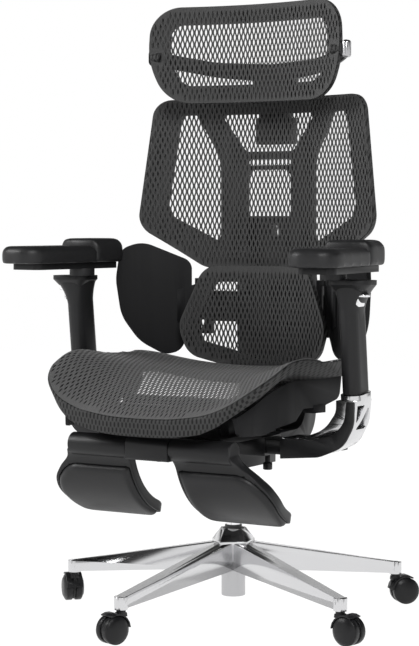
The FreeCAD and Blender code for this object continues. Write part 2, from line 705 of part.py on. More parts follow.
# Footrest pads: a hollow-backed shell on a sleeve, and a cushion let into its face
foot_down = Vector(0, math.sin(math.radians(foot_tilt_deg)), -math.cos(math.radians(foot_tilt_deg)))
foot_face = Vector(0, -math.cos(math.radians(foot_tilt_deg)), -math.sin(math.radians(foot_tilt_deg)))
FOOT = Sheet(Vector(0, foot_axis_y, foot_axis_z), AXIS_X, foot_down, foot_face)
pad_corners = [(foot_pad_inner_x, 24.0, 4), (188.0, 24.0, 8), (232.0, 86.0, 90), (foot_pad_outer_x, foot_pad_length, 26),
               (foot_pad_inner_x, foot_pad_length, 50)]
shell_corners = [(foot_block_half + 1.5, 0.0, 0), (foot_sleeve_end_x, 0.0, 0), (194.0, 20.0, 8),
                 (238.0, 84.0, 90), (foot_pad_outer_x + foot_rim, foot_pad_length + foot_rim, 30),
                 (foot_block_half - 6, foot_pad_length + foot_rim, 54), (foot_block_half + 1.5, 60.0, 30)]


def shell_back(u, v):
    """How far the shell stands behind the pad's plane, fullest in the middle."""
    return -foot_shell_depth + 9.0 * ((u - 145.0) / 100.0) ** 2 + 8.0 * ((v - 80.0) / 85.0) ** 2


def foot_shell():
    us = steps(foot_block_half - 20, foot_pad_outer_x + 20, 5)
    vs = steps(-5.0, foot_pad_length + 15, 5)
    back = skin(FOOT, shell_back, us, vs).extrude(foot_face * 60)
    body = only(back.common(plate(FOOT, shell_corners, -60.0, 0.0)))
    sleeve = rod(foot_sleeve_r, Vector(foot_block_half + 0.5, foot_axis_y, foot_axis_z),
                 Vector(foot_sleeve_end_x, foot_axis_y, foot_axis_z))
    cap = rod(foot_sleeve_r - 3, Vector(foot_sleeve_end_x, foot_axis_y, foot_axis_z),
              Vector(foot_sleeve_end_x + 3, foot_axis_y, foot_axis_z))
    body = fuse(body, sleeve, cap)
    return only(body.cut(rod(foot_bar_r + RUN, Vector(0, foot_axis_y, foot_axis_z),
                             Vector(foot_sleeve_end_x - 3, foot_axis_y, foot_axis_z))))


def foot_cushion():
    us = steps(foot_pad_inner_x - 20, foot_pad_outer_x + 20, 5)
    vs = steps(10.0, foot_pad_length + 15, 5)

    def crown(u, v):
        return foot_cushion_depth - 5.0 * ((u - 145.0) / 100.0) ** 2 - 5.0 * ((v - 92.0) / 70.0) ** 2

    front = skin(FOOT, crown, us, vs).extrude(foot_face * -60)
    return only(front.common(plate(FOOT, pad_corners, SEAT_GAP, 60.0)))


shell_left = foot_shell()
cushion_left = foot_cushion()
cushion_left = only(cushion_left.cut(rod(foot_sleeve_r + SEAT_GAP, Vector(0, foot_axis_y, foot_axis_z),
                                         Vector(300, foot_axis_y, foot_axis_z))))
save("footrest_shell_left", shell_left)
save("footrest_shell_right", mirrored(shell_left))
save("footrest_cushion_left", cushion_left)
save("footrest_cushion_right", mirrored(cushion_left))

# Back spine: a forked foot on the recline shaft, swept up behind the lumbar pad
spine_back_y = spine_front_y + spine_thickness
spine_side = [(recline_pivot_y - 18, recline_pivot_z - 20, 12), (120.0, recline_pivot_z - 20, 60),
              (spine_back_y + 6, 352.0, 60), (spine_back_y + 4, 520.0, 200), (spine_back_y, spine_top, 10),
              (spine_front_y, spine_top, 8), (spine_front_y, 440.0, 60), (142.0, recline_pivot_z + 22, 40),
              (recline_pivot_y - 18, recline_pivot_z + 20, 12)]
spine_front = both_sides([(72.0, spine_top, 18), (90.0, 600.0, 300), (spine_half_width, 440.0, 100),
                          (spine_half_width, 300.0, 0)])
spine = plate(SIDE, spine_side, -100, 100).common(plate(FRONT, spine_front, 0, 300))
fork_gap = housing_half_width + SLIDE
spine = only(spine.cut(plate(PLAN, [(-fork_gap, 0, 0), (fork_gap, 0, 0), (fork_gap, 106, 14), (-fork_gap, 106, 14)],
                             200, 500)))
spine = spine.cut(rod(recline_shaft_r + RUN, Vector(-100, recline_pivot_y, recline_pivot_z),
                      Vector(100, recline_pivot_y, recline_pivot_z)))
slot_low = 688.0
slider_height = 30.0
spine = spine.cut(plate(FRONT, [(-slider_half - SLIDE, slot_low, 2), (slider_half + SLIDE, slot_low, 2),
                                (slider_half + SLIDE, slot_low + slider_height + back_travel + 4, 2),
                                (-slider_half - SLIDE, slot_low + slider_height + back_travel + 4, 2)], 100, 300))
pocket_half = 52.0
spine_pocket = plate(FRONT, [(-pocket_half, 470.0, 20), (pocket_half, 470.0, 20), (pocket_half, 660.0, 20),
                             (-pocket_half, 660.0, 20)], spine_front_y + 14, 300)
save("back_spine", only(spine.cut(spine_pocket)))


# Back frame and mesh: one wrapped panel with its windows, two stripes and a slider on the spine
back_corners = both_sides([(back_top_half, back_top, 38), (back_low_half, back_low_z, 46), (140.0, back_bottom + 6, 60),
                           (0.0, back_bottom - 4, 0)])
side_x_top = back_top_half - back_side_band + 4
side_x_low = back_low_half - back_side_band
window_top = back_top - back_top_band
window_bottom = back_bottom + 46
stripe_spread = 156.0
side_window = [(side_x_top, window_top, 14), (side_x_low, back_low_z + 26, 34), (stripe_outer_x, window_bottom + 8, 12),
               (stripe_outer_x, 905.0, 110), (stripe_spread, window_top, 8)]
centre_window = both_sides([(stripe_inner_x, 884.0, 16), (stripe_inner_x, window_bottom, 10)])
arch_slot = both_sides([(stripe_inner_x, 905.0, 5), (stripe_inner_x, 893.0, 5)])
top_window = both_sides([(113.0, window_top, 8), (58.0, 921.0, 12)])
back_windows = [side_window, [(-u, v, r) for u, v, r in side_window], centre_window, arch_slot, top_window]
back_edge_y = back_centre_y - back_wrap
mesh_gap = mesh_thickness + SEAT_GAP


def bow(reach, centre_h, edge_h, behind=0.0):
    """Three spots of a bow that is the same on both sides."""
    return [(-reach, edge_h + behind), (0.0, centre_h + behind), (reach, edge_h + behind)]


back_frame = bowed(FRONT, bow(back_low_half, back_centre_y, back_edge_y, mesh_gap), back_bottom - 20, back_top + 20,
                   back_frame_depth, back_corners, back_windows)
frame_rear_y = back_centre_y + mesh_thickness + SEAT_GAP + back_frame_depth
slider_bottom = slot_low + 2
slider = block(-slider_half, slider_half, frame_rear_y - 4, spine_back_y + 5, slider_bottom, slider_bottom + slider_height)
slider_foot = block(-34, 34, frame_rear_y - 6, spine_front_y - SLIDE, slider_bottom - 4, slider_bottom + 58)
slider_cap = plate(FRONT, [(-26, slider_bottom - 6, 8), (26, slider_bottom - 6, 8), (26, slider_bottom + 36, 8),
                           (-26, slider_bottom + 36, 8)], spine_back_y + 2.5, spine_back_y + 7)
save("back_frame", fuse(back_frame, slider, slider_foot, slider_cap))
save("back_mesh", bowed(FRONT, bow(back_low_half, back_centre_y, back_edge_y), back_bottom - 20, back_top + 20,
                        mesh_thickness, inset(back_corners, 1.0)))


# Lumbar pad: carrier on the spine, sprung frame and its mesh
lumbar_corners = both_sides([(118.0, 690.0, 46), (lumbar_half_width + 2, 566.0, 60), (150.0, 506.0, 44),
                             (0.0, 466.0, 60)])
lumbar_edge_y = lumbar_centre_y - lumbar_wrap
lumbar_reach = lumbar_half_width + 4
lumbar_frame = bowed(FRONT, bow(lumbar_reach, lumbar_centre_y, lumbar_edge_y, mesh_gap), 450.0, 710.0, lumbar_depth,
                     lumbar_corners, [inset(lumbar_corners, 34.0)])
plunger_r = 9.0
plunger_z = (560.0, 640.0)
lumbar_rear = lumbar_centre_y + mesh_thickness + SEAT_GAP
rib = bowed(FRONT, bow(lumbar_reach, lumbar_centre_y, lumbar_edge_y, mesh_gap + 6), 570.0, 630.0, 7.0,
            both_sides([(145.0, 622.0, 0), (145.0, 578.0, 0)]))
plungers = [rod(plunger_r, Vector(0, lumbar_rear + 8, z), Vector(0, 152.0, z)) for z in plunger_z]
pads = [block(-22, 22, lumbar_rear + 6, lumbar_rear + 13, z - 14, z + 14) for z in plunger_z]
save("lumbar_frame", fuse(lumbar_frame, rib, *plungers, *pads, block(-22, 22, lumbar_rear + 6, lumbar_rear + 13, 560, 640)))
save("lumbar_mesh", bowed(FRONT, bow(lumbar_reach, lumbar_centre_y, lumbar_edge_y), 450.0, 710.0, mesh_thickness,
                          inset(lumbar_corners, 1.0)))

wing_hinge = (wing_root[0] - 2, wing_root[1] + wing_thickness + 4)
barrel_low = 560.0
barrel_high = 650.0
carrier_bar = plate(FRONT, both_sides([(wing_hinge[0] - 12, 636.0, 10), (wing_hinge[0] - 12, 574.0, 10)]),
                    lumbar_rear + 13 + lumbar_travel + 2, lumbar_rear + 13 + lumbar_travel + 14)
carrier_box = plate(FRONT, both_sides([(40.0, 660.0, 10), (40.0, 540.0, 10)]),
                    lumbar_rear + 13 + lumbar_travel + 2, spine_front_y)
carrier_box = carrier_box.cut(block(-spring_r - 2, spring_r + 2, 148.0, spine_front_y + 1, 552, 648))
eyes = []
for side in (-1, 1):
    for z0, z1 in ((barrel_low - 12, barrel_low - SLIDE), (barrel_high + SLIDE, barrel_high + 12)):
        eyes.append(rod(wing_barrel_r, Vector(side * wing_hinge[0], wing_hinge[1], z0),
                        Vector(side * wing_hinge[0], wing_hinge[1], z1)))
        x0, x1 = sorted((side * (wing_hinge[0] - 26), side * wing_hinge[0]))
        eyes.append(block(x0, x1, wing_hinge[1] + 1, wing_hinge[1] + wing_barrel_r, z0, z1))
bar_back = lumbar_rear + 13 + lumbar_travel + 14
posts = [block(min(s * (wing_hinge[0] - 26), s * (wing_hinge[0] - 14)), max(s * (wing_hinge[0] - 26), s * (wing_hinge[0] - 14)),
               wing_hinge[1] + 1, bar_back, barrel_low - 12, barrel_high + 12) for s in (-1, 1)]
carrier_all = fuse(carrier_bar, carrier_box, *eyes, *posts)
for z in plunger_z:
    carrier_all = carrier_all.cut(rod(plunger_r + RUN, Vector(0, 50, z), Vector(0, spine_front_y, z)))
for side in (-1, 1):
    carrier_all = carrier_all.cut(rod(3.0 + RUN, Vector(side * wing_hinge[0], wing_hinge[1], 500),
                                      Vector(side * wing_hinge[0], wing_hinge[1], 700)))
save("lumbar_carrier", only(carrier_all))

# Side wings: curved panels on upright hinge pins at the ends of the lumbar carrier
wing_chord = Vector(wing_tip[0] - wing_root[0], wing_tip[1] - wing_root[1], 0)
wing_length = wing_chord.Length
wing_u = Vector(wing_chord).normalize()
wing_n = Vector(-wing_u.y, wing_u.x, 0)
WING = Sheet(Vector(wing_root[0], wing_root[1], 0), wing_u, AXIS_Z, wing_n)
wing_corners = [(4.0, 697.0, 24), (106.0, 738.0, 60), (152.0, 722.0, 30), (161.0, 660.0, 90), (150.0, 585.0, 90),
                (112.0, 532.0, 90), (60.0, 504.0, 36), (26.0, 512.0, 30), (4.0, 570.0, 60)]

wing_bow = [(0.0, 0.0), (wing_length / 2, wing_bulge), (wing_length + 4, 0.0)]
wing_panel = bowed(WING, wing_bow, 490.0, 750.0, wing_thickness, wing_corners)
barrel = rod(wing_barrel_r, Vector(wing_hinge[0], wing_hinge[1], barrel_low), Vector(wing_hinge[0], wing_hinge[1], barrel_high))
web = plate(WING, [(-4.0, barrel_low, 0), (34.0, barrel_low + 12, 0), (34.0, barrel_high - 12, 0), (-4.0, barrel_high, 0)],
            4.0, 13.0)
hinge_pin = rod(3.0, Vector(wing_hinge[0], wing_hinge[1], barrel_low - 12), Vector(wing_hinge[0], wing_hinge[1], barrel_high + 12))
wing_left = fuse(wing_panel, barrel, web, hinge_pin)
save("wing_left", wing_left)
save("wing_right", mirrored(wing_left))


# Headrest: bracket on the back frame, post with a curved yoke, and a meshed frame between its ends
head_corners = both_sides([(head_half_width - 4, head_top, 62), (head_half_width + 2, head_pivot_z - 9, 160),
                           (head_half_width - head_low_inset, head_bottom + 2, 74)])
head_reach = head_half_width + 4
head_edge_y = head_centre_y - head_wrap
head_frame = bowed(FRONT, bow(head_reach, head_centre_y, head_edge_y, mesh_gap), head_bottom - 20, head_top + 20,
                   head_frame_depth, head_corners, [inset(head_corners, head_band)])
tab_inner = head_half_width + 0.8
pin_boss_r = 9.0
pin_bosses = [rod(pin_boss_r, Vector(side * (head_half_width - 22), head_pivot_y, head_pivot_z),
                  Vector(side * (tab_inner - SLIDE), head_pivot_y, head_pivot_z)) for side in (-1, 1)]
head_frame = fuse(head_frame, *pin_bosses)
for side in (-1, 1):
    head_frame = head_frame.cut(rod(head_pin_r + RUN, Vector(side * (head_half_width - 14), head_pivot_y, head_pivot_z),
                                    Vector(side * 260, head_pivot_y, head_pivot_z)))
save("headrest_frame", only(head_frame))
head_mesh = bowed(FRONT, bow(head_reach, head_centre_y, head_edge_y), head_bottom - 20, head_top + 20, mesh_thickness,
                  inset(head_corners, 1.0))
for side in (-1, 1):
    head_mesh = head_mesh.cut(rod(pin_boss_r + SLIDE, Vector(side * (head_half_width - 24), head_pivot_y, head_pivot_z),
                                  Vector(side * 260, head_pivot_y, head_pivot_z)))
save("headrest_mesh", only(head_mesh))

bracket_rear = head_post_y + head_post_depth + 12
bracket_top = back_top - 6
bracket_low = back_top - 93
bracket_waist = back_top - 39
headrest_bracket = fuse(block(-40, 40, frame_rear_y + SEAT_GAP, bracket_rear, bracket_low, bracket_waist),
                        block(-28, 28, frame_rear_y + SEAT_GAP, bracket_rear, bracket_waist, bracket_top))
headrest_bracket = headrest_bracket.cut(block(-head_post_half - SLIDE, head_post_half + SLIDE, head_post_y - SLIDE,
                                              head_post_y + head_post_depth + SLIDE, bracket_low - 1, bracket_top + 1))
save("headrest_bracket", only(headrest_bracket))


yoke_end_x = head_half_width + 6
tab_low = head_pivot_z - 15
tab_high = head_pivot_z + 15
yoke_corners = both_sides([(0.0, tab_high - 28, 0), (120.0, tab_high - 22, 300), (yoke_end_x, tab_high, 6),
                           (yoke_end_x, tab_low, 6), (110.0, tab_low - 24, 300), (0.0, tab_low - 34, 0)])
yoke = bowed(FRONT, bow(yoke_end_x, yoke_centre_y, head_pivot_y + 6), tab_low - 56, tab_high + 14, yoke_thickness,
             yoke_corners)
post = block(-head_post_half, head_post_half, head_post_y, head_post_y + head_post_depth, bracket_low + 4, tab_low - 10)
socket_block = plate(FRONT, both_sides([(48.0, tab_low - 8, 8), (48.0, tab_low - 38, 8)]), yoke_centre_y + 4,
                     head_post_y + head_post_depth + 4)
tabs = []
for side in (-1, 1):
    x0, x1 = sorted((side * tab_inner, side * (tab_inner + 5.2)))
    tabs.append(plate(SIDE, [(head_pivot_y - 10, tab_low, 9), (head_pivot_y + 14, tab_low, 2),
                             (head_pivot_y + 14, tab_high, 2), (head_pivot_y - 10, tab_high, 9)], x0, x1))
    tabs.append(rod(head_pin_r, Vector(side * (head_half_width - 13), head_pivot_y, head_pivot_z),
                    Vector(side * (tab_inner + 1), head_pivot_y, head_pivot_z)))
save("headrest_yoke", fuse(yoke, post, socket_block, *tabs))


# Armrests: cast bracket with truss openings, front trim, post, sliding sleeve with trigger, tray and pads
def oval(size, z0, z1, grow=0.0):
    """An upright oval prism about the arm's own axis, before it leans."""
    half_x = size[0] / 2 + grow
    half_y = size[1] / 2 + grow
    r = half_x - 1.0
    return plate(PLAN, [(-half_x, -half_y, r), (half_x, -half_y, r), (half_x, half_y, r), (-half_x, half_y, r)], z0, z1)


def leaned(shape):
    """Sets a piece drawn about the arm's own axis on the left arm's foot, leaning forward."""
    copy = shape.copy()
    copy.rotate(ORIGIN, AXIS_X, arm_lean_deg)
    copy.translate(Vector(arm_x, arm_foot_y, arm_foot_z))
    return copy


bracket_outer = [(arm_beam_end_x, 334.0, 0), (252.0, 341.0, 60), (300.0, 362.0, 50), (322.0, 404.0, 60)]
bracket_inner = [(arm_x - 20, 425.0, 30), (262.0, 392.0, 60), (214.0, 373.0, 60), (arm_beam_end_x, 371.0, 0)]
bracket_corners = bracket_outer + [(arm_x + 21, 447.0, 0), (arm_x - 20, 447.0, 0)] + bracket_inner
bracket = plate(FRONT, bracket_corners, bracket_front, bracket_back)
truss = [[(bracket_front + 9, 440.0, 3), (bracket_front + 9, 402.0, 3), (bracket_front + 42, 440.0, 3)],
         [(bracket_back - 8, 436.0, 3), (bracket_back - 8, 392.0, 3), (bracket_front + 17, 392.0, 3)]]
for corners in truss:
    bracket = bracket.cut(plate(SIDE, corners, 240.0, 340.0))
collar = leaned(oval(collar_size, 0.0, collar_height))
foot_block = leaned(oval(collar_size, -12.0, 0.5))
bracket_full = fuse(only(bracket), collar, foot_block)
bracket_left = only(bracket_full.cut(leaned(oval(post_size, -6.0, 60.0))))
save("arm_bracket_left", bracket_left)
save("arm_bracket_right", mirrored(bracket_left))

trim_corners = [(arm_beam_end_x, 332.0, 0), (252.0, 339.0, 60), (302.0, 360.0, 50), (324.5, 402.0, 60),
                (324.5, 446.0, 2), (309.0, 446.0, 2), (305.0, 408.0, 40), (284.0, 383.0, 40), (240.0, 371.0, 60),
                (arm_beam_end_x, 371.0, 0)]
trim_left = plate(FRONT, trim_corners, bracket_front - trim_thickness, bracket_front)
save("arm_trim_left", trim_left)
save("arm_trim_right", mirrored(trim_left))

post_left = leaned(oval(post_size, -6.0, post_length))
save("arm_post_left", post_left)
save("arm_post_right", mirrored(post_left))

sleeve_bottom = collar_height + 1.0
sleeve = leaned(oval(sleeve_size, sleeve_bottom, sleeve_top))
cap_outline = [(arm_x - 34, -132.0, 20), (arm_x + 49, -132.0, 26), (arm_x + 49, -64.0, 26), (arm_x - 34, -64.0, 20)]
cap_top = plate(PLAN, cap_outline, cap_bottom_z + 8, cap_top_z)
cap_low = Part.makeLoft([outline(PLAN, inset(cap_outline, 12.0), cap_bottom_z - 4),
                         outline(PLAN, cap_outline, cap_bottom_z + 8)], True, True)
sleeve_full = fuse(sleeve, cap_top, cap_low)
sleeve_left = only(sleeve_full.cut(leaned(oval(post_size, -10.0, post_length + 4, SLIDE))))
save("arm_sleeve_left", sleeve_left)
save("arm_sleeve_right", mirrored(sleeve_left))

trigger_x = arm_x + sleeve_size[0] / 2 + SLIDE
trigger_front = -112.0
trigger_back = -84.0
grip = plate(PLAN, [(trigger_x, trigger_front, 0), (trigger_x + 20, trigger_front, 10), (trigger_x + 20, trigger_back, 10),
                    (trigger_x, trigger_back, 0)], 640.0, 645.0)
face = plate(SIDE, [(trigger_front, 622.0, 5), (trigger_back, 622.0, 5), (trigger_back, 643.0, 0),
                    (trigger_front, 643.0, 0)], trigger_x, trigger_x + 5)
trigger_left = fuse(grip, face)
save("arm_trigger_left", trigger_left)
save("arm_trigger_right", mirrored(trigger_left))

# Turntable tray: a round foot on the cap, turned by hand, with the tray on top
tray_top_z = tray_bottom_z + tray_thickness


def toed(shape):
    """Turns an arm pad piece, drawn straight about the pad's centre, to the toe-out of the left arm."""
    copy = shape.copy()
    copy.rotate(ORIGIN, AXIS_Z, pad_toe_deg)
    copy.translate(Vector(pad_centre[0], pad_centre[1], 0))
    return copy


half_l = pad_length / 2
half_w = pad_width / 2
tray = plate(PLAN, [(-half_w + 14, -half_l + 34, 16), (half_w - 12, -half_l + 34, 16), (half_w - 12, half_l - 14, 16),
                    (-half_w + 14, half_l - 14, 16)], tray_bottom_z, tray_top_z)
foot_low = rod(turntable_r, Vector(turntable_x, turntable_y, cap_top_z + SEAT_GAP),
               Vector(turntable_x, turntable_y, tray_bottom_z + 1))
tray_left = fuse(toed(tray), foot_low)
save("arm_tray_left", tray_left)
save("arm_tray_right", mirrored(tray_left))

# Arm pads: the front pad and the raised elbow pad behind a curved seam
pad_low = tray_top_z + SLIDE
pad_corners_plan = [(-half_w, -half_l, pad_corner_r + 8), (half_w, -half_l, pad_corner_r + 8),
                    (half_w, half_l, pad_corner_r), (-half_w, half_l, pad_corner_r)]
seam_r = 130.0
seam_y = half_l - elbow_length
seam = rod(seam_r, Vector(0, seam_y + seam_r, 600), Vector(0, seam_y + seam_r, 800))
seam_gap = rod(seam_r + 0.6, Vector(0, seam_y + seam_r, 600), Vector(0, seam_y + seam_r, 800))
front_pad = plate(PLAN, pad_corners_plan, pad_low, pad_low + pad_thickness)
front_pad = front_pad.makeChamfer(pad_edge_r, [e for e in front_pad.Edges
                                               if e.CenterOfMass.z > pad_low + pad_thickness - 0.1])
front_pad = only(front_pad.cut(seam_gap))
elbow_pad = plate(PLAN, pad_corners_plan, pad_low, pad_low + pad_thickness + elbow_rise)
elbow_pad = elbow_pad.makeChamfer(pad_edge_r + 3, [e for e in elbow_pad.Edges
                                                   if e.CenterOfMass.z > pad_low + pad_thickness + elbow_rise - 0.1])
elbow_pad = only(elbow_pad.common(seam))
save("arm_pad_left", toed(front_pad), toed(elbow_pad))
save("arm_pad_right", mirrored(toed(front_pad)), mirrored(toed(elbow_pad)))
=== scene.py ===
import bpy
import json
import math
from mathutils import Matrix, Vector
from mathutils.bvhtree import BVHTree
from mathutils.geometry import delaunay_2d_cdt


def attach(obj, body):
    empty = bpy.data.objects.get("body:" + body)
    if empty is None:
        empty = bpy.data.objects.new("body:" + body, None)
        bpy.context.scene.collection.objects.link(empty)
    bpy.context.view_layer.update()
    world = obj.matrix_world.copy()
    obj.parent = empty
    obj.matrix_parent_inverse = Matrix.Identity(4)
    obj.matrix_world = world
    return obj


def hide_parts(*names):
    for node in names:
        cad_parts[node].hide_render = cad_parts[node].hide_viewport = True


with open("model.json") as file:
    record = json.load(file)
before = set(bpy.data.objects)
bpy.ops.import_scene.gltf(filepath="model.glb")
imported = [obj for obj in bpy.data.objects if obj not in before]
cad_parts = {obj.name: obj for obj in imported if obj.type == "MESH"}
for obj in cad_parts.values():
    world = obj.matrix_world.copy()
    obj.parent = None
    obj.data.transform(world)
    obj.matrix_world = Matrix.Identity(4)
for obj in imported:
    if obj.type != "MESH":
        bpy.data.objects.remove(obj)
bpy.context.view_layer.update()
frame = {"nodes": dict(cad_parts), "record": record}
scene = bpy.context.scene

# Studio: the camera stands before the sitter's left knee at the height of the armrests. The floor and
# the air behind are plain white under a dark ceiling, two dark cards show in the metal, and soft lamps
# hang over the chair and behind it.
camera_place = (1.929, -3.341, 0.784)
camera_turn = math.radians(30.707)
camera_dip = math.radians(3.05)
focal_length_px = 1953.5
photo_height_px = 646
sensor_mm = 36.0
view_edge = 0.13
ceiling_edge = 0.32
ceiling_level = 0.05
card_inner_edge = (0.62, 0.70)
card_outer_edge = (0.88, 0.80)
card_level = 0.3
air_light_share = 0.36
floor_width = 12.0
floor_glow_strength = 1.12
floor_glow_share = 0.9
lamp_aim = Vector((0, 0, 0.6))
lamps = {
    "lamp_over_left": ((2.2, -2.6, 3.0), 80.0, 1.4, True),
    "lamp_over_right": ((-2.6, -1.8, 2.4), 65.0, 1.4, True),
    "lamp_behind": ((0.6, 2.8, 2.6), 60.0, 1.6, False),
}

camera_data = bpy.data.cameras.new("camera")
camera_data.sensor_width = sensor_mm
camera_data.lens = focal_length_px * sensor_mm / photo_height_px
camera = bpy.data.objects.new("camera", camera_data)
camera.location = camera_place
camera.rotation_euler = (math.radians(90) - camera_dip, 0, camera_turn)
scene.collection.objects.link(camera)
scene.camera = camera
scene.view_settings.view_transform = "Standard"


def calculate(tree, operation, *values):
    """One step of arithmetic in a node tree, on sockets and plain numbers."""
    step = tree.nodes.new("ShaderNodeMath")
    step.operation = operation
    for socket, value in zip(step.inputs, values):
        if isinstance(value, (int, float)):
            socket.default_value = value
        else:
            tree.links.new(value, socket)
    return step.outputs[0]


def ranged(tree, value, wanted, given=(0.0, 1.0), blend="LINEAR"):
    """A socket's value carried over from a given range to the wanted one and held at its ends."""
    carry = tree.nodes.new("ShaderNodeMapRange")
    carry.interpolation_type = blend
    ends = ("From Min", "From Max", "To Min", "To Max")
    for end, level in zip(ends, (*given, *wanted)):
        carry.inputs[end].default_value = level
    tree.links.new(value, carry.inputs["Value"])
    return carry.outputs["Result"]


def seen_or_mirrored(tree):
    """1 where the camera, a mirror or glass looks at the surface itself, 0 where light bounces off it."""
    path = tree.nodes.new("ShaderNodeLightPath")
    direct = calculate(tree, "MAXIMUM", path.outputs["Is Camera Ray"], path.outputs["Is Glossy Ray"])
    return calculate(tree, "MAXIMUM", direct, path.outputs["Is Transmission Ray"])


world = bpy.data.worlds.new("studio_air")
world.use_nodes = True
scene.world = world
air = world.node_tree
air_light = air.nodes["Background"]
air_light.inputs["Color"].default_value = (1.0, 1.0, 1.0, 1.0)
air_ray = air.nodes.new("ShaderNodeTexCoord").outputs["Generated"]
air_height = air.nodes.new("ShaderNodeSeparateXYZ")
air.links.new(air_ray, air_height.inputs["Vector"])
overhead = ranged(air, air_height.outputs["Z"], (1.0, ceiling_level), (view_edge, ceiling_edge),
                  "SMOOTHSTEP")
sideways = air.nodes.new("ShaderNodeVectorMath")
sideways.operation = "DOT_PRODUCT"
sideways.inputs[1].default_value = (math.cos(camera_turn), math.sin(camera_turn), 0)
air.links.new(air_ray, sideways.inputs[0])
aside = calculate(air, "ABSOLUTE", sideways.outputs["Value"])
card_start = ranged(air, aside, (0.0, 1.0), card_inner_edge)
card_end = ranged(air, aside, (0.0, 1.0), card_outer_edge)
card = calculate(air, "MULTIPLY", card_start, card_end)
mirror_ray = air.nodes.new("ShaderNodeLightPath").outputs["Is Glossy Ray"]
card_shade = ranged(air, calculate(air, "MULTIPLY", card, mirror_ray), (1.0, card_level))
air_level = ranged(air, seen_or_mirrored(air), (air_light_share, 1.0))
below_ceiling = calculate(air, "MULTIPLY", air_level, card_shade)
air.links.new(calculate(air, "MULTIPLY", below_ceiling, overhead), air_light.inputs["Strength"])

bpy.ops.mesh.primitive_plane_add(size=floor_width, location=(0, 0, 0))
floor = bpy.context.object
floor.name = "studio_floor"
floor_paint = bpy.data.materials.new("floor_white")
floor_paint.use_nodes = True
floor_tree = floor_paint.node_tree
floor_shader = floor_tree.nodes["Principled BSDF"]
floor_shader.inputs["Base Color"].default_value = (0.9, 0.9, 0.9, 1.0)
floor_shader.inputs["Roughness"].default_value = 0.9
floor_glow = floor_tree.nodes.new("ShaderNodeEmission")
floor_glow.inputs["Strength"].default_value = floor_glow_strength
floor_mix = floor_tree.nodes.new("ShaderNodeMixShader")
floor_share = calculate(floor_tree, "MULTIPLY", seen_or_mirrored(floor_tree), floor_glow_share)
floor_tree.links.new(floor_share, floor_mix.inputs["Fac"])
floor_tree.links.new(floor_shader.outputs[0], floor_mix.inputs[1])
floor_tree.links.new(floor_glow.outputs[0], floor_mix.inputs[2])
floor_tree.links.new(floor_mix.outputs[0], floor_tree.nodes["Material Output"].inputs["Surface"])
floor.data.materials.append(floor_paint)

for lamp_name, (place, watts, width, in_mirrors) in lamps.items():
    lamp_data = bpy.data.lights.new(lamp_name, "AREA")
    lamp_data.energy = watts
    lamp_data.size = width
    lamp = bpy.data.objects.new(lamp_name, lamp_data)
    lamp.location = place
    lamp.visible_glossy = in_mirrors
    lamp.rotation_euler = (lamp_aim - Vector(place)).to_track_quat("-Z", "Y").to_euler()
    scene.collection.objects.link(lamp)

# Star base: one polished aluminium casting with five tapering legs on a five-sided hub. Its edges are
# eased by polishing, and the buffing leaves fine streaks that only show in the reflections.
casting_edge = 0.0016


def only_select(piece):
    """Makes one object the only one that operators act on."""
    bpy.ops.object.select_all(action="DESELECT")
    piece.select_set(True)
    bpy.context.view_layer.objects.active = piece


def body_of(node):
    """The moving body that a CAD node belongs to."""
    groups = frame["record"]["behaviour"]["bodies"]
    return next(body for body, members in groups.items() if node in members)


def welded_copy(node, name):
    """A copy of a CAD node whose loose triangles are welded into whole faces."""
    piece = frame["nodes"][node].copy()
    piece.data = piece.data.copy()
    piece.name = name
    piece.parent = None
    for key in list(piece.keys()):
        del piece[key]
    piece.data.materials.clear()
    scene.collection.objects.link(piece)
    only_select(piece)
    bpy.ops.object.mode_set(mode="EDIT")
    bpy.ops.mesh.select_all(action="SELECT")
    bpy.ops.mesh.remove_doubles(threshold=0.00001)
    bpy.ops.mesh.dissolve_limited(angle_limit=math.radians(1.5))
    bpy.ops.object.mode_set(mode="OBJECT")
    return piece


def ease(piece, width, rounds=2, corner_deg=32):
    """Rounds a piece's sharp edges a little and shades its curved sides smooth."""
    bevel = piece.modifiers.new("eased_edges", "BEVEL")
    bevel.width = width
    bevel.segments = rounds
    bevel.limit_method = "ANGLE"
    bevel.angle_limit = math.radians(corner_deg)
    bevel.harden_normals = True
    bevel.use_clamp_overlap = True
    only_select(piece)
    bpy.ops.object.modifier_apply(modifier=bevel.name)
    bpy.ops.object.shade_smooth_by_angle(angle=math.radians(40))


def eased(node, width, material, rounds=2):
    """A rigid CAD node with eased edges in its own finish, riding where the node rides."""
    piece = welded_copy(node, node + "_finished")
    ease(piece, width, rounds)
    piece.data.materials.append(material)
    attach(piece, body_of(node))
    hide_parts(node)
    return piece


def new_material(name, color, roughness, metallic=0.0):
    """A material with its Principled shader set, and its node tree."""
    material = bpy.data.materials.new(name)
    material.use_nodes = True
    shader = material.node_tree.nodes["Principled BSDF"]
    shader.inputs["Base Color"].default_value = (*color, 1.0)
    shader.inputs["Roughness"].default_value = roughness
    shader.inputs["Metallic"].default_value = metallic
    return material, material.node_tree, shader


def add_group(tree, group, **values):
    """Places a node group in a material with its own values."""
    node = tree.nodes.new("ShaderNodeGroup")
    node.node_tree = group
    for socket, value in values.items():
        node.inputs[socket].default_value = value
    return node


def group_with(name, inputs, outputs):
    """An empty node group with named float inputs and outputs, and its two end nodes."""
    group = bpy.data.node_groups.new(name, "ShaderNodeTree")
    for socket, value in inputs.items():
        entry = group.interface.new_socket(socket, in_out="INPUT", socket_type="NodeSocketFloat")
        entry.default_value = value
    for socket in outputs:
        group.interface.new_socket(socket, in_out="OUTPUT", socket_type="NodeSocketFloat")
    return group, group.nodes.new("NodeGroupInput"), group.nodes.new("NodeGroupOutput")


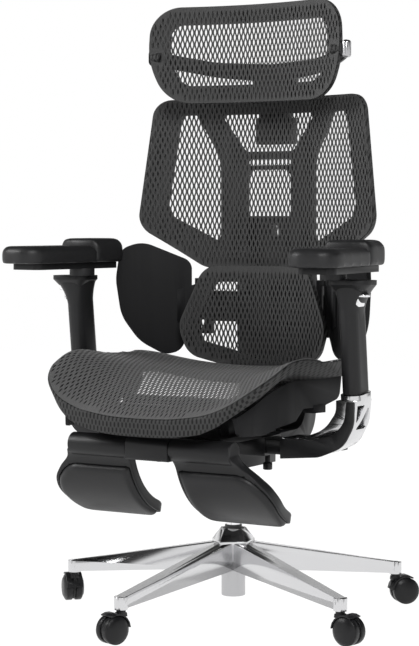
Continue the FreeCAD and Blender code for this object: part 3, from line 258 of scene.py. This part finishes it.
def buffed_streaks():
    """Fine streaks round the piece from buffing: a height for bumps and a roughness that wanders."""
    group, given, out = group_with("buffed_streaks", {"Scale": 60.0, "Rough": 0.1, "Spread": 0.05},
                                   ("Height", "Roughness"))
    where = group.nodes.new("ShaderNodeTexCoord")
    stretch = group.nodes.new("ShaderNodeMapping")
    stretch.inputs["Scale"].default_value = (1.0, 1.0, 14.0)
    streak = group.nodes.new("ShaderNodeTexNoise")
    streak.inputs["Detail"].default_value = 3.0
    clouds = group.nodes.new("ShaderNodeTexNoise")
    clouds.inputs["Scale"].default_value = 9.0
    group.links.new(where.outputs["Object"], stretch.inputs["Vector"])
    group.links.new(where.outputs["Object"], clouds.inputs["Vector"])
    group.links.new(stretch.outputs["Vector"], streak.inputs["Vector"])
    group.links.new(given.outputs["Scale"], streak.inputs["Scale"])
    rough = calculate(group, "MULTIPLY_ADD", clouds.outputs["Fac"], given.outputs["Spread"],
                      given.outputs["Rough"])
    group.links.new(streak.outputs["Fac"], out.inputs["Height"])
    group.links.new(rough, out.inputs["Roughness"])
    return group


streaks = buffed_streaks()


def bump_from(tree, shader, height, strength, distance):
    """Feeds a height to the shader's normal through a bump node."""
    bump = tree.nodes.new("ShaderNodeBump")
    bump.inputs["Strength"].default_value = strength
    bump.inputs["Distance"].default_value = distance
    tree.links.new(height, bump.inputs["Height"])
    tree.links.new(bump.outputs["Normal"], shader.inputs["Normal"])


def metal(name, color, rough, spread, bump):
    """A bare metal finish with buffing streaks."""
    material, tree, shader = new_material(name, color, rough, 1.0)
    streak = add_group(tree, streaks, Rough=rough, Spread=spread)
    tree.links.new(streak.outputs["Roughness"], shader.inputs["Roughness"])
    bump_from(tree, shader, streak.outputs["Height"], bump, 0.0004)
    return material


polished_aluminium = metal("polished_aluminium", (0.66, 0.66, 0.67), 0.12, 0.08, 0.06)
satin_steel = metal("satin_steel", (0.5, 0.5, 0.51), 0.26, 0.1, 0.1)
chrome = metal("bright_chrome", (0.86, 0.86, 0.87), 0.04, 0.03, 0.02)

eased("star_base", casting_edge, polished_aluminium, rounds=3)

# Gas lift: a satin stand tube in the hub, a black plastic bush with a small collar at its mouth, the
# bright pressure tube that slides in it, and the piston rod that turns on a bearing at the bottom.
grain_cell = 1500.0


def moulded_grain():
    """The fine spark grain of a moulded plastic: a height, a roughness and a faint tone."""
    group, given, out = group_with("moulded_grain", {"Scale": grain_cell, "Rough": 0.5, "Spread": 0.15},
                                   ("Height", "Roughness", "Tone"))
    where = group.nodes.new("ShaderNodeTexCoord")
    pits = group.nodes.new("ShaderNodeTexVoronoi")
    pits.feature = "SMOOTH_F1"
    clouds = group.nodes.new("ShaderNodeTexNoise")
    clouds.inputs["Scale"].default_value = 14.0
    clouds.inputs["Detail"].default_value = 4.0
    group.links.new(where.outputs["Object"], pits.inputs["Vector"])
    group.links.new(where.outputs["Object"], clouds.inputs["Vector"])
    group.links.new(given.outputs["Scale"], pits.inputs["Scale"])
    rough = calculate(group, "MULTIPLY_ADD", clouds.outputs["Fac"], given.outputs["Spread"],
                      given.outputs["Rough"])
    tone = ranged(group, clouds.outputs["Fac"], (0.85, 1.15))
    group.links.new(pits.outputs["Distance"], out.inputs["Height"])
    group.links.new(rough, out.inputs["Roughness"])
    group.links.new(tone, out.inputs["Tone"])
    return group


grain = moulded_grain()


def plastic(name, color, rough, spread=0.12, bump=0.12, scale=grain_cell, gloss=0.3):
    """A moulded plastic or painted finish with its fine grain."""
    material, tree, shader = new_material(name, color, rough)
    shader.inputs["Specular IOR Level"].default_value = gloss
    fine = add_group(tree, grain, Scale=scale, Rough=rough - spread / 2, Spread=spread)
    toned = tree.nodes.new("ShaderNodeVectorMath")
    toned.operation = "SCALE"
    toned.inputs[0].default_value = color
    tree.links.new(fine.outputs["Tone"], toned.inputs["Scale"])
    tree.links.new(toned.outputs["Vector"], shader.inputs["Base Color"])
    tree.links.new(fine.outputs["Roughness"], shader.inputs["Roughness"])
    bump_from(tree, shader, fine.outputs["Height"], bump, 0.0002)
    return material


black_plastic = plastic("black_plastic", (0.017, 0.017, 0.018), 0.42)
dull_plastic = plastic("dull_black_plastic", (0.012, 0.012, 0.013), 0.55, gloss=0.2)
bush_plastic = plastic("bush_plastic", (0.05, 0.05, 0.05), 0.4)
black_paint = plastic("black_paint", (0.018, 0.018, 0.019), 0.35, scale=900.0)

eased("stand_tube", 0.0012, satin_steel)
eased("tube_bush", 0.0006, bush_plastic)
eased("pressure_tube", 0.0008, chrome)
eased("piston_rod", 0.0004, satin_steel)
eased("thrust_bearing", 0.0004, satin_steel)

# Casters: a black nylon hood with its stem, and two wheels on one axle. Each wheel has a dished face
# with a raised hub, and a narrow tread with round shoulders.
caster_edge = 0.0008
nylon = plastic("caster_nylon", (0.013, 0.013, 0.014), 0.36)
caster_count = 5
for number in range(1, caster_count + 1):
    eased("caster_" + str(number) + "_fork", caster_edge, nylon)
    eased("caster_" + str(number) + "_wheels", caster_edge * 2, nylon, rounds=3)

# Tilt mechanism: a painted die-cast case with its lid, the shaft that the back turns on, two springs,
# the tension knob underneath and the two release levers that reach out under the seat.
knob_edge = 0.0015
spring_steel = metal("spring_steel", (0.3, 0.3, 0.31), 0.35, 0.1, 0.15)
eased("tilt_housing", 0.0015, black_paint)
eased("housing_cover", 0.001, black_paint)
eased("recline_shaft", 0.0008, satin_steel)
eased("tilt_springs", 0.0006, spring_steel)
eased("tension_knob", knob_edge, black_plastic, rounds=3)
for lever in ("height_lever", "recline_lever"):
    eased(lever, 0.002, black_plastic, rounds=3)
eased("seat_carrier", 0.0008, black_paint)
eased("arm_beam", 0.002, black_paint)

# Arm brackets: polished castings that curve up from the beam to the arm posts, with truss openings on
# their outer sides and a black trim band across the front.
for side in ("left", "right"):
    eased("arm_bracket_" + side, 0.0014, polished_aluminium, rounds=3)
    eased("arm_trim_" + side, 0.0016, black_plastic, rounds=3)

# Armrests: a painted oval post in a moulded sleeve whose upper end widens like a trumpet up to a round
# cap, a chromed trigger under the cap, and a tray that slides and turns on it.
arm_foot_y = -0.070
arm_foot_z = 0.452
arm_lean = 0.113936
cap_inner_edge = 0.034
cap_shift = 0.0075
flare_rings = 14
flare_points = 64
flare_low_z = 0.596
flare_below_top = 0.010
flare_bend = 2.4
flare_corner = 0.8
flare_half_width = (0.0190, 0.0395)
flare_half_depth = (0.0300, 0.0335)


def signed_power(value, power):
    """A power that keeps its value's sign."""
    return math.copysign(abs(value) ** power, value)


def mesh_object(name, places, faces):
    """A new object from points and faces, with its faces turned outwards."""
    mesh = bpy.data.meshes.new(name)
    mesh.from_pydata(places, [], faces)
    mesh.update()
    made = bpy.data.objects.new(name, mesh)
    scene.collection.objects.link(made)
    only_select(made)
    bpy.ops.object.mode_set(mode="EDIT")
    bpy.ops.mesh.select_all(action="SELECT")
    bpy.ops.mesh.normals_make_consistent(inside=False)
    bpy.ops.object.mode_set(mode="OBJECT")
    return made


def sleeve_flare(side, mirror):
    """The upper end of an arm's sleeve: ovals up its leaning axis, wider and wider up to the cap."""
    node = frame["nodes"]["arm_sleeve_" + side]
    cad_sleeve = [node.matrix_world @ vertex.co for vertex in node.data.vertices]
    axis_x = min(abs(spot.x) for spot in cad_sleeve) + cap_inner_edge
    top_z = max(spot.z for spot in cad_sleeve) - flare_below_top
    places = []
    for ring in range(flare_rings + 1):
        share = (ring / flare_rings) ** flare_bend
        z = flare_low_z + (top_z - flare_low_z) * ring / flare_rings
        half_width = flare_half_width[0] + (flare_half_width[1] - flare_half_width[0]) * share
        half_depth = flare_half_depth[0] + (flare_half_depth[1] - flare_half_depth[0]) * share
        for point in range(flare_points):
            angle = 2 * math.pi * point / flare_points
            x = axis_x + cap_shift * share + signed_power(math.cos(angle), flare_corner) * half_width
            y = arm_foot_y - arm_lean * (z - arm_foot_z)
            y += signed_power(math.sin(angle), flare_corner) * half_depth
            places.append((mirror * x, y, z))
    last = flare_rings * flare_points
    faces = [list(range(flare_points))[::-1], list(range(last, last + flare_points))]
    for low in range(0, last, flare_points):
        for point in range(flare_points):
            onward = (point + 1) % flare_points
            high = low + flare_points
            faces.append([low + point, low + onward, high + onward, high + point])
    return mesh_object("arm_flare_" + side, places, faces)


for side, mirror in (("left", 1), ("right", -1)):
    eased("arm_post_" + side, 0.001, black_paint)
    eased("arm_sleeve_" + side, 0.002, black_plastic, rounds=3)
    eased("arm_trigger_" + side, 0.001, chrome, rounds=3)
    eased("arm_tray_" + side, 0.003, black_plastic, rounds=3)
    flare = sleeve_flare(side, mirror)
    bpy.ops.object.shade_smooth_by_angle(angle=math.radians(40))
    flare.data.materials.append(black_plastic)
    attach(flare, body_of("arm_sleeve_" + side))

# Arm pads: skinned foam, one long pad in front and a raised elbow pad behind a curved seam. The foam
# is rounded at its edges, the elbow pad more than the front one.
pad_cell = 0.0045
pad_roundings = {"arm_front_pad_": 5, "arm_elbow_pad_": 16}
foam_skin = plastic("arm_pad_skin", (0.018, 0.018, 0.019), 0.46, bump=0.2, scale=700.0, gloss=0.4)


def split_by_parts(piece):
    """Splits a piece into its separate shells, the foremost first."""
    only_select(piece)
    bpy.ops.object.mode_set(mode="EDIT")
    bpy.ops.mesh.select_all(action="SELECT")
    bpy.ops.mesh.separate(type="LOOSE")
    bpy.ops.object.mode_set(mode="OBJECT")
    shells = list(bpy.context.selected_objects)
    return sorted(shells, key=lambda shell: min(v.co.y for v in shell.data.vertices))


def soften(piece, cell, passes):
    """Rebuilds a closed shell on an even grid and rounds its edges as foam under a skin is."""
    only_select(piece)
    remesh = piece.modifiers.new("even_grid", "REMESH")
    remesh.mode = "VOXEL"
    remesh.voxel_size = cell
    bpy.ops.object.modifier_apply(modifier=remesh.name)
    smooth = piece.modifiers.new("rounded", "SMOOTH")
    smooth.factor = 0.5
    smooth.iterations = passes
    bpy.ops.object.modifier_apply(modifier=smooth.name)
    fine = piece.modifiers.new("fine", "SUBSURF")
    fine.levels = 1
    fine.render_levels = 1
    bpy.ops.object.modifier_apply(modifier=fine.name)
    bpy.ops.object.shade_smooth()


for side in ("left", "right"):
    node = "arm_pad_" + side
    pads = split_by_parts(welded_copy(node, node + "_foam"))
    for pad, (part, roundings) in zip(pads, pad_roundings.items()):
        pad.name = part + side
        soften(pad, pad_cell, roundings)
        pad.data.materials.clear()
        pad.data.materials.append(foam_skin)
        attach(pad, body_of(node))
        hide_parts(node)

# Seat: a moulded ring under a knit that wraps its rim, with front corners that curve up and an
# underside that draws in, on a shell of side skirts. The shell carries the footrest's slide case.
seat_corner_lift = 0.024
seat_taper = 0.17
lift_start_x = 0.12
lift_blend_x = 0.14
lift_end_y = 0.24
lift_blend_y = 0.17
taper_end_y = 0.14
taper_blend_y = 0.2
ring_taper_start_x = 0.10
ring_taper_blend_x = 0.12
shell_taper_start_x = 0.12
shell_taper_blend_x = 0.10
taper_start_depth = 0.006
taper_depth = 0.045
wrap_pitch_across = 0.0085
wrap_pitch_along = 0.0105
wrap_thread_tone = 0.055
wrap_slot_tone = 0.008


def smooth_step(value):
    """0 below 0 and 1 above 1, with an even blend between."""
    held = min(1.0, max(0.0, value))
    return held * held * (3 - 2 * held)


def seat_lift(spot):
    """How much the front corners of the seat curve up above the CAD's level rim."""
    side_share = smooth_step((abs(spot.x) - lift_start_x) / lift_blend_x)
    return seat_corner_lift * side_share * (1 - smooth_step((spot.y + lift_end_y) / lift_blend_y))


def taper_share(spot):
    """1 at the seat's front, where the underside draws in, and 0 at its back."""
    return 1 - smooth_step((spot.y + taper_end_y) / taper_blend_y)


def grey_from(tree, value, shader):
    """Feeds one value to the shader's colour as a grey."""
    grey = tree.nodes.new("ShaderNodeCombineColor")
    for channel in ("Red", "Green", "Blue"):
        tree.links.new(value, grey.inputs[channel])
    tree.links.new(grey.outputs["Color"], shader.inputs["Base Color"])


def wrapped_knit():
    """The knit drawn tight over a rim: a lattice of closed slots that reads as dark points."""
    material, tree, shader = new_material("wrapped_knit", (0.03, 0.03, 0.031), 0.6)
    where = tree.nodes.new("ShaderNodeTexCoord")
    split = tree.nodes.new("ShaderNodeSeparateXYZ")
    tree.links.new(where.outputs["Object"], split.inputs["Vector"])
    upright = calculate(tree, "SUBTRACT", split.outputs["Z"], split.outputs["Y"])
    waves = []
    for sign in (1, -1):
        across = calculate(tree, "MULTIPLY", split.outputs["X"], sign * 2 * math.pi / wrap_pitch_across)
        slant = calculate(tree, "MULTIPLY_ADD", upright, math.pi / wrap_pitch_along, across)
        waves.append(calculate(tree, "COSINE", slant))
    lattice = calculate(tree, "ADD", *waves)
    tone = ranged(tree, lattice, (wrap_thread_tone, wrap_slot_tone), (-0.2, 0.9))
    grey_from(tree, tone, shader)
    shader.inputs["Specular IOR Level"].default_value = 0.3
    bump_from(tree, shader, tone, 0.6, 0.01)
    return material


rim_knit = wrapped_knit()
seat_ring = eased("seat_frame", 0.004, rim_knit, rounds=3)
seat_top = BVHTree.FromObject(frame["nodes"]["seat_mesh"], bpy.context.evaluated_depsgraph_get())
for vertex in seat_ring.data.vertices:
    depth = seat_top.find_nearest(vertex.co)[0].z - vertex.co.z
    under = smooth_step((depth - taper_start_depth) / taper_depth)
    edge_share = smooth_step((abs(vertex.co.x) - ring_taper_start_x) / ring_taper_blend_x)
    lift = seat_lift(vertex.co)
    vertex.co.x *= 1 - seat_taper * under * edge_share * taper_share(vertex.co)
    vertex.co.z += lift
under_shell = eased("seat_shell", 0.002, dull_plastic)
for vertex in under_shell.data.vertices:
    edge_share = smooth_step((abs(vertex.co.x) - shell_taper_start_x) / shell_taper_blend_x)
    vertex.co.x *= 1 - seat_taper * taper_share(vertex.co) * edge_share
eased("footrest_guide", 0.001, dull_plastic)

# Mesh skins: one elastic knit with rows of upright pointed slots, stretched over the seat, back, lumbar
# and headrest frames and held in a groove round each edge. The seat's knit is a lighter copy of the same
# yarn, painted light for the seat's upward face.
slot_pitch_across = 0.0095
slot_pitch_along = 0.0118
slot_half_width = 0.0024
slot_half_height = 0.0082
slot_point = 0.0062
seat_open_share = 0.62
upright_open_share = 0.86
across = Vector((1, 0, 0))
up = Vector((0, 0, 1))
forward = Vector((0, -1, 0))
mesh_rim = 0.010
slot_edge = 0.0015
mesh_wall = 0.0008
edge_step = 0.012


def outline_of(node, facing):
    """The rim of a CAD skin's outer face, as points in order round it."""
    piece = welded_copy(node, "rim_finder")
    mesh = piece.data
    outer = {p.index for p in mesh.polygons if p.normal.dot(facing) > 0.3}
    uses = {}
    for index in outer:
        for key in mesh.polygons[index].edge_keys:
            uses[key] = uses.get(key, 0) + 1
    after = {}
    for a, b in (key for key, count in uses.items() if count == 1):
        after.setdefault(a, []).append(b)
        after.setdefault(b, []).append(a)
    loops = []
    left = set(after)
    while left:
        here = left.pop()
        loop = [here]
        while True:
            onward = [n for n in after[here] if n in left]
            if not onward:
                break
            here = onward[0]
            left.discard(here)
            loop.append(here)
        loops.append([mesh.vertices[i].co.copy() for i in loop])
    bpy.data.objects.remove(piece)
    return max(loops, key=len)


def even_loop(points, step):
    """The same closed loop with points at about even steps."""
    even = []
    for start, end in zip(points, points[1:] + points[:1]):
        pieces = max(1, round((end - start).length / step))
        even += [start.lerp(end, i / pieces) for i in range(pieces)]
    return even


def gap_to_rim(spot, rim):
    """How far a spot lies inside a closed rim, or below 0 outside it."""
    inside = False
    nearest = 1e9
    for (ax, ay), (bx, by) in zip(rim, rim[1:] + rim[:1]):
        if (ay > spot[1]) != (by > spot[1]) and spot[0] < (bx - ax) * (spot[1] - ay) / (by - ay) + ax:
            inside = not inside
        dx, dy = bx - ax, by - ay
        length = dx * dx + dy * dy or 1e-12
        share = min(1.0, max(0.0, ((spot[0] - ax) * dx + (spot[1] - ay) * dy) / length))
        nearest = min(nearest, math.hypot(spot[0] - ax - share * dx, spot[1] - ay - share * dy))
    return nearest if inside else -nearest


def slot_rim(u, v, open_share):
    """The six corners of one pointed slot."""
    tip = slot_half_height
    shoulder = tip - slot_point
    half = slot_half_width * open_share
    return [(u - half, v - shoulder), (u, v - tip), (u + half, v - shoulder),
            (u + half, v + shoulder), (u, v + tip), (u - half, v + shoulder)]


def knit(name, node, along, facing, material, open_share):
    """A slotted mesh skin over a CAD skin: cut flat with its slots, then laid on the CAD skin's surface."""
    outer = even_loop(outline_of(node, facing), edge_step)
    rim = [(p.dot(across), p.dot(along)) for p in outer]
    area = sum(a[0] * b[1] - b[0] * a[1] for a, b in zip(rim, rim[1:] + rim[:1])) / 2
    if area < 0:
        rim.reverse()
    surface = BVHTree.FromObject(frame["nodes"][node], bpy.context.evaluated_depsgraph_get())
    low_u, high_u = min(p[0] for p in rim), max(p[0] for p in rim)
    low_v, high_v = min(p[1] for p in rim), max(p[1] for p in rim)
    middle_u = (low_u + high_u) / 2
    slots = []
    rows = int((high_v - low_v) / slot_pitch_along) + 1
    columns = int((high_u - low_u) / slot_pitch_across) + 2
    left_columns = int((high_u - low_u) / slot_pitch_across / 2)
    for row in range(rows):
        v = low_v + row * slot_pitch_along
        for column in range(columns):
            u = middle_u + (column - left_columns + 0.5 * (row % 2)) * slot_pitch_across
            corners = slot_rim(u, v, open_share)
            if gap_to_rim((u, v), rim) > mesh_rim or min(gap_to_rim(c, rim) for c in corners) > slot_edge:
                slots.append(corners)
    spots = list(rim)
    faces = [list(range(len(rim)))]
    for corners in slots:
        faces.append(list(range(len(spots), len(spots) + 6)))
        spots += corners
    flat, _, cells, _, _, cell_faces = delaunay_2d_cdt([Vector(s) for s in spots], [], faces, 1, 1e-7)
    cloth = [cell for cell, sources in zip(cells, cell_faces) if list(sources) == [0]]
    places = []
    for spot in flat:
        seed = across * spot.x + along * spot.y
        hit = surface.ray_cast(seed + facing * 2, -facing)[0]
        if hit is None:
            guess = surface.find_nearest(seed + facing * outer[0].dot(facing))[0]
            hit = seed + facing * guess.dot(facing)
        places.append(hit)
    mesh = bpy.data.meshes.new(name)
    mesh.from_pydata(places, [], cloth)
    mesh.update()
    skin = bpy.data.objects.new(name, mesh)
    scene.collection.objects.link(skin)
    laid = mesh.uv_layers.new(name="knit")
    for loop in mesh.loops:
        laid.data[loop.index].uv = flat[loop.vertex_index]
    only_select(skin)
    bpy.ops.object.mode_set(mode="EDIT")
    bpy.ops.mesh.select_all(action="SELECT")
    bpy.ops.mesh.normals_make_consistent(inside=False)
    bpy.ops.object.mode_set(mode="OBJECT")
    toward = sum((p.normal.dot(facing) * p.area for p in mesh.polygons))
    if toward < 0:
        mesh.flip_normals()
    wall = skin.modifiers.new("thread_depth", "SOLIDIFY")
    wall.thickness = mesh_wall
    wall.offset = -1.0
    bpy.ops.object.modifier_apply(modifier=wall.name)
    bpy.ops.object.shade_smooth_by_angle(angle=math.radians(40))
    mesh.materials.append(material)
    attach(skin, body_of(node))
    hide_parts(node)
    return skin


def knit_material(name, dark, light):
    """Grey-black elastic yarn: twisted threads along the strands, with a dull sheen."""
    material, tree, shader = new_material(name, (0.06, 0.06, 0.062), 0.6)
    laid = tree.nodes.new("ShaderNodeUVMap")
    laid.uv_map = "knit"
    threads = tree.nodes.new("ShaderNodeTexWave")
    threads.wave_type = "BANDS"
    threads.bands_direction = "DIAGONAL"
    threads.inputs["Scale"].default_value = 260.0
    threads.inputs["Distortion"].default_value = 1.5
    tree.links.new(laid.outputs["UV"], threads.inputs["Vector"])
    grey_from(tree, ranged(tree, threads.outputs["Fac"], (dark, light)), shader)
    shader.inputs["Sheen Weight"].default_value = 0.25
    shader.inputs["Sheen Roughness"].default_value = 0.4
    bump_from(tree, shader, threads.outputs["Fac"], 0.4, 0.0006)
    return material


yarn = knit_material("elastic_knit", 0.022, 0.068)
# The seat's yarn is the same knit painted lighter, 0.06 to 0.2 against 0.022 to 0.068: painted light and
# highlights for the seat's top, which faces up to the lamps.
seat_yarn_painted_light = knit_material("seat_knit_painted_light", 0.06, 0.2)
seat_skin = knit("seat_mesh_knit", "seat_mesh", -forward, up, seat_yarn_painted_light, seat_open_share)
for vertex in seat_skin.data.vertices:
    vertex.co.z += seat_lift(vertex.co)
for part in ("back", "lumbar", "headrest"):
    knit(part + "_mesh_knit", part + "_mesh", up, forward, yarn, upright_open_share)

# Back: a painted spine that swings on the recline shaft, a wrapped frame with windows and two stripes,
# and a sprung lumbar pad on a carrier with a wing at each end.
eased("back_spine", 0.004, black_plastic, rounds=3)
eased("back_frame", 0.003, rim_knit, rounds=3)
eased("lumbar_carrier", 0.0015, black_plastic)
eased("lumbar_frame", 0.003, rim_knit, rounds=3)
for side in ("left", "right"):
    eased("wing_" + side, 0.004, dull_plastic, rounds=4)

# Headrest: a bracket on the back frame, a post with a curved yoke, and a frame that tips between the
# yoke's two ends. The yoke's right end lies close to the frame, and its left one has a bright pivot cap.
yoke_end_x = 0.2165
yoke_end_squash = 0.1
pivot_cap_place = (0.2275, 0.040, 1.111)
pivot_cap_size = (0.014, 0.020, 0.034)
eased("headrest_bracket", 0.002, black_plastic, rounds=3)
yoke = eased("headrest_yoke", 0.002, black_plastic, rounds=3)
for vertex in yoke.data.vertices:
    if vertex.co.x < -yoke_end_x:
        vertex.co.x = -yoke_end_x + (vertex.co.x + yoke_end_x) * yoke_end_squash
bpy.ops.mesh.primitive_cube_add(size=1, location=pivot_cap_place, scale=pivot_cap_size)
pivot_cap = bpy.context.object
pivot_cap.name = "headrest_pivot_cap"
bpy.ops.object.transform_apply(location=True, rotation=True, scale=True)
ease(pivot_cap, 0.006, 5)
pivot_cap.data.materials.append(satin_steel)
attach(pivot_cap, body_of("headrest_yoke"))
eased("headrest_frame", 0.003, rim_knit, rounds=3)

# Footrest: a sliding carriage with a bar, and two folding pads that curve under the seat. Each pad is a
# moulded shell that flows out of its sleeve, with a lip round a soft cushion that is let into its face.
# A pad is laid out flat, as x and a length along its face, and then bent round a level axis.
bow_y = -0.141
bow_z = 0.383
face_radius = 0.176
seam_radius = 0.1613
lip_radius = 0.167
lip_slope = 0.0016
lip_rounding = 0.002
shell_back_radius = 0.144
back_rounding_depth = 0.008
back_rounding_width = 0.014
brow_deg = 22.0
brow_span_deg = 11.0
brow_rise = 0.014
cushion_crown = 0.013
crown_width = 0.013
sleeve_radius = 0.0215
sleeve_y = -0.302
sleeve_z = 0.360
sleeve_inner_x = 0.0465
sleeve_outer_x = 0.176
corner_pieces = 8
bar_bore = 0.0086
bar_end_x = 0.170
outline_step = 0.005
shell_cell = 0.006
cushion_cell = 0.008
seam_rings = (0.002, 0.0003, -0.0005, -0.0011, -0.002)
shell_rings = (0.0005, 0.0012, 0.0024, 0.006, 0.010, 0.014)
cushion_rings = (0.0004, 0.0012, 0.0025, 0.0045, 0.007, 0.010, 0.013)
cushion_corners = [(0.054, 22.0, 0.006), (0.180, 22.0, 0.008), (0.202, 25.4, 0.010), (0.226, 34.0, 0.014),
                   (0.2355, 45.0, 0.018), (0.232, 56.0, 0.018), (0.224, 77.5, 0.028), (0.056, 77.5, 0.030)]
shell_corners = [(0.048, 8.0, 0.0), (0.1755, 8.0, 0.0), (0.190, 17.0, 0.010), (0.213, 24.5, 0.010),
                 (0.2335, 33.6, 0.014), (0.2418, 45.0, 0.018), (0.238, 56.4, 0.018), (0.230, 79.5, 0.034),
                 (0.050, 79.5, 0.036)]
eased("footrest_carriage", 0.0015, black_plastic, rounds=3)
cushion_skin = plastic("cushion_skin", (0.015, 0.015, 0.016), 0.42, bump=0.2, scale=500.0, gloss=0.35)


def rounded_outline(corners):
    """A closed outline through corners of given x, angle and radius, on the flattened face of a pad."""
    spots = [Vector((x, math.radians(deg) * face_radius)) for x, deg, _ in corners]
    loop = []
    for i, (_, _, radius) in enumerate(corners):
        here, before, after = spots[i], spots[i - 1], spots[(i + 1) % len(spots)]
        start = here + (before - here).normalized() * min(radius, (before - here).length * 0.49)
        end = here + (after - here).normalized() * min(radius, (after - here).length * 0.49)
        shares = [k / corner_pieces for k in range(corner_pieces + 1)] if radius else [0.0]
        loop += [start * (1 - t) ** 2 + here * (2 * t * (1 - t)) + end * t ** 2 for t in shares]
    return [(spot.x, spot.y) for spot in even_loop(loop, outline_step)]


def inset_ring(rim, distance):
    """The points of a rim moved inwards, without those that a tight corner pushes too near the rim."""
    ring = []
    for i, spot in enumerate(rim):
        before, after = Vector(rim[i - 1]), Vector(rim[(i + 1) % len(rim)])
        run = (after - before).normalized()
        moved = (spot[0] - run.y * distance, spot[1] + run.x * distance)
        if gap_to_rim(moved, rim) > distance - 0.0002:
            ring.append(moved)
    return ring


def bowed_block(name, rim, rings, cell, front, back, mirror):
    """A closed block bent round the bow: its front and back radii come from each spot on its face."""
    spots = list(rim)
    for ring in rings:
        spots += [spot for spot in ring if gap_to_rim(spot, rim) > 0.0003]
    low_x, low_arc = min(spot[0] for spot in rim), min(spot[1] for spot in rim)
    high_x, high_arc = max(spot[0] for spot in rim), max(spot[1] for spot in rim)
    for i in range(int((high_x - low_x) / cell)):
        for j in range(int((high_arc - low_arc) / cell)):
            spot = (low_x + (i + 0.5) * cell, low_arc + (j + 0.5) * cell)
            near = min(abs(gap_to_rim(spot, ring)) for ring in rings)
            if gap_to_rim(spot, rim) > cell * 0.5 and near > cell * 0.35:
                spots.append(spot)
    outline = list(range(len(rim)))
    flat, _, cells, _, _, sources = delaunay_2d_cdt([Vector(spot) for spot in spots], [], [outline], 1, 1e-7)
    faces = [list(corners) for corners, source in zip(cells, sources) if list(source) == [0]]
    count = len(flat)
    places = []
    for radius_at in (front, back):
        for spot in flat:
            angle = spot.y / face_radius
            radius = radius_at((spot.x, spot.y))
            y = bow_y - radius * math.cos(angle)
            z = bow_z - radius * math.sin(angle)
            places.append((mirror * spot.x, y, z))
    sides = {(a, b): True for face in faces for a, b in zip(face, face[1:] + face[:1])}
    walls = [[b, a, a + count, b + count] for a, b in sides if (b, a) not in sides]
    under = [[i + count for i in reversed(face)] for face in faces]
    made = mesh_object(name, places, faces + under + walls)
    bpy.ops.object.mode_set(mode="EDIT")
    bpy.ops.mesh.select_all(action="SELECT")
    bpy.ops.mesh.delete_loose()
    bpy.ops.object.mode_set(mode="OBJECT")
    return made


def round_rod(radius, start_x, end_x):
    """A round rod along the footrest's hinge."""
    bpy.ops.mesh.primitive_cylinder_add(vertices=72, radius=radius, depth=abs(end_x - start_x),
                                        location=((start_x + end_x) / 2, sleeve_y, sleeve_z),
                                        rotation=(0, math.radians(90), 0))
    rod = bpy.context.object
    bpy.ops.object.transform_apply(location=True, rotation=True, scale=True)
    return rod


def combine(piece, other, operation):
    """Fuses another solid with a piece or cuts it out, and deletes the other."""
    change = piece.modifiers.new("combine", "BOOLEAN")
    change.operation = operation
    change.solver = "EXACT"
    change.object = other
    only_select(piece)
    bpy.ops.object.modifier_apply(modifier=change.name)
    bpy.data.objects.remove(other)


cushion_rim = rounded_outline(cushion_corners)
shell_rim = rounded_outline(shell_corners)


def share_inside(spot, rim, width):
    """0 at a rim and 1 from a given width inside it."""
    return min(1.0, max(0.0, gap_to_rim(spot, rim)) / width)


def quarter_round(share):
    """The height of a quarter circle from 0 at its foot to 1 at its top."""
    return math.sqrt(max(0.0, 1 - (1 - share) ** 2))


def cushion_front(spot):
    """The cushion's face: full in the middle, rounded down to the seam."""
    return seam_radius + 0.001 + cushion_crown * quarter_round(share_inside(spot, cushion_rim, crown_width))


def cushion_back(spot):
    """The cushion's back, flat on the shell's floor."""
    return seam_radius - 0.0005


def shell_front(spot):
    """The shell's face: a floor under the cushion, a lip round it, and a brow that rises to the sleeve."""
    into_cushion = gap_to_rim(spot, cushion_rim)
    if into_cushion > -0.0004:
        return seam_radius - 0.001
    if into_cushion > -0.001:
        return lip_radius - lip_slope
    edge = quarter_round(share_inside(spot, shell_rim, lip_rounding))
    above = min(1.0, max(0.0, (brow_deg - math.degrees(spot[1] / face_radius)) / brow_span_deg))
    return lip_radius - lip_rounding * (1 - edge) + brow_rise * above ** 2


def shell_back(spot):
    """The shell's back: hollow in its middle and rounded up at its edges."""
    edge = quarter_round(share_inside(spot, shell_rim, back_rounding_width))
    return shell_back_radius + back_rounding_depth * (1 - edge)


for side, mirror in (("left", 1), ("right", -1)):
    node = "footrest_shell_" + side
    rings = [inset_ring(cushion_rim, distance) for distance in seam_rings]
    rings += [inset_ring(shell_rim, distance) for distance in shell_rings]
    shell = bowed_block(node + "_moulded", shell_rim, rings, shell_cell, shell_front, shell_back, mirror)
    sleeve = round_rod(sleeve_radius, mirror * sleeve_inner_x, mirror * sleeve_outer_x)
    ease(sleeve, 0.002, 3)
    combine(shell, sleeve, "UNION")
    combine(shell, round_rod(bar_bore, mirror * 0.04, mirror * bar_end_x), "DIFFERENCE")
    only_select(shell)
    bpy.ops.object.shade_smooth_by_angle(angle=math.radians(40))
    shell.data.materials.clear()
    shell.data.materials.append(black_plastic)
    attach(shell, body_of(node))
    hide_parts(node)
    node = "footrest_cushion_" + side
    rings = [inset_ring(cushion_rim, distance) for distance in cushion_rings]
    cushion = bowed_block(node + "_soft", cushion_rim, rings, cushion_cell, cushion_front, cushion_back,
                          mirror)
    only_select(cushion)
    bpy.ops.object.shade_smooth_by_angle(angle=math.radians(60))
    cushion.data.materials.append(cushion_skin)
    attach(cushion, body_of(node))
    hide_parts(node)
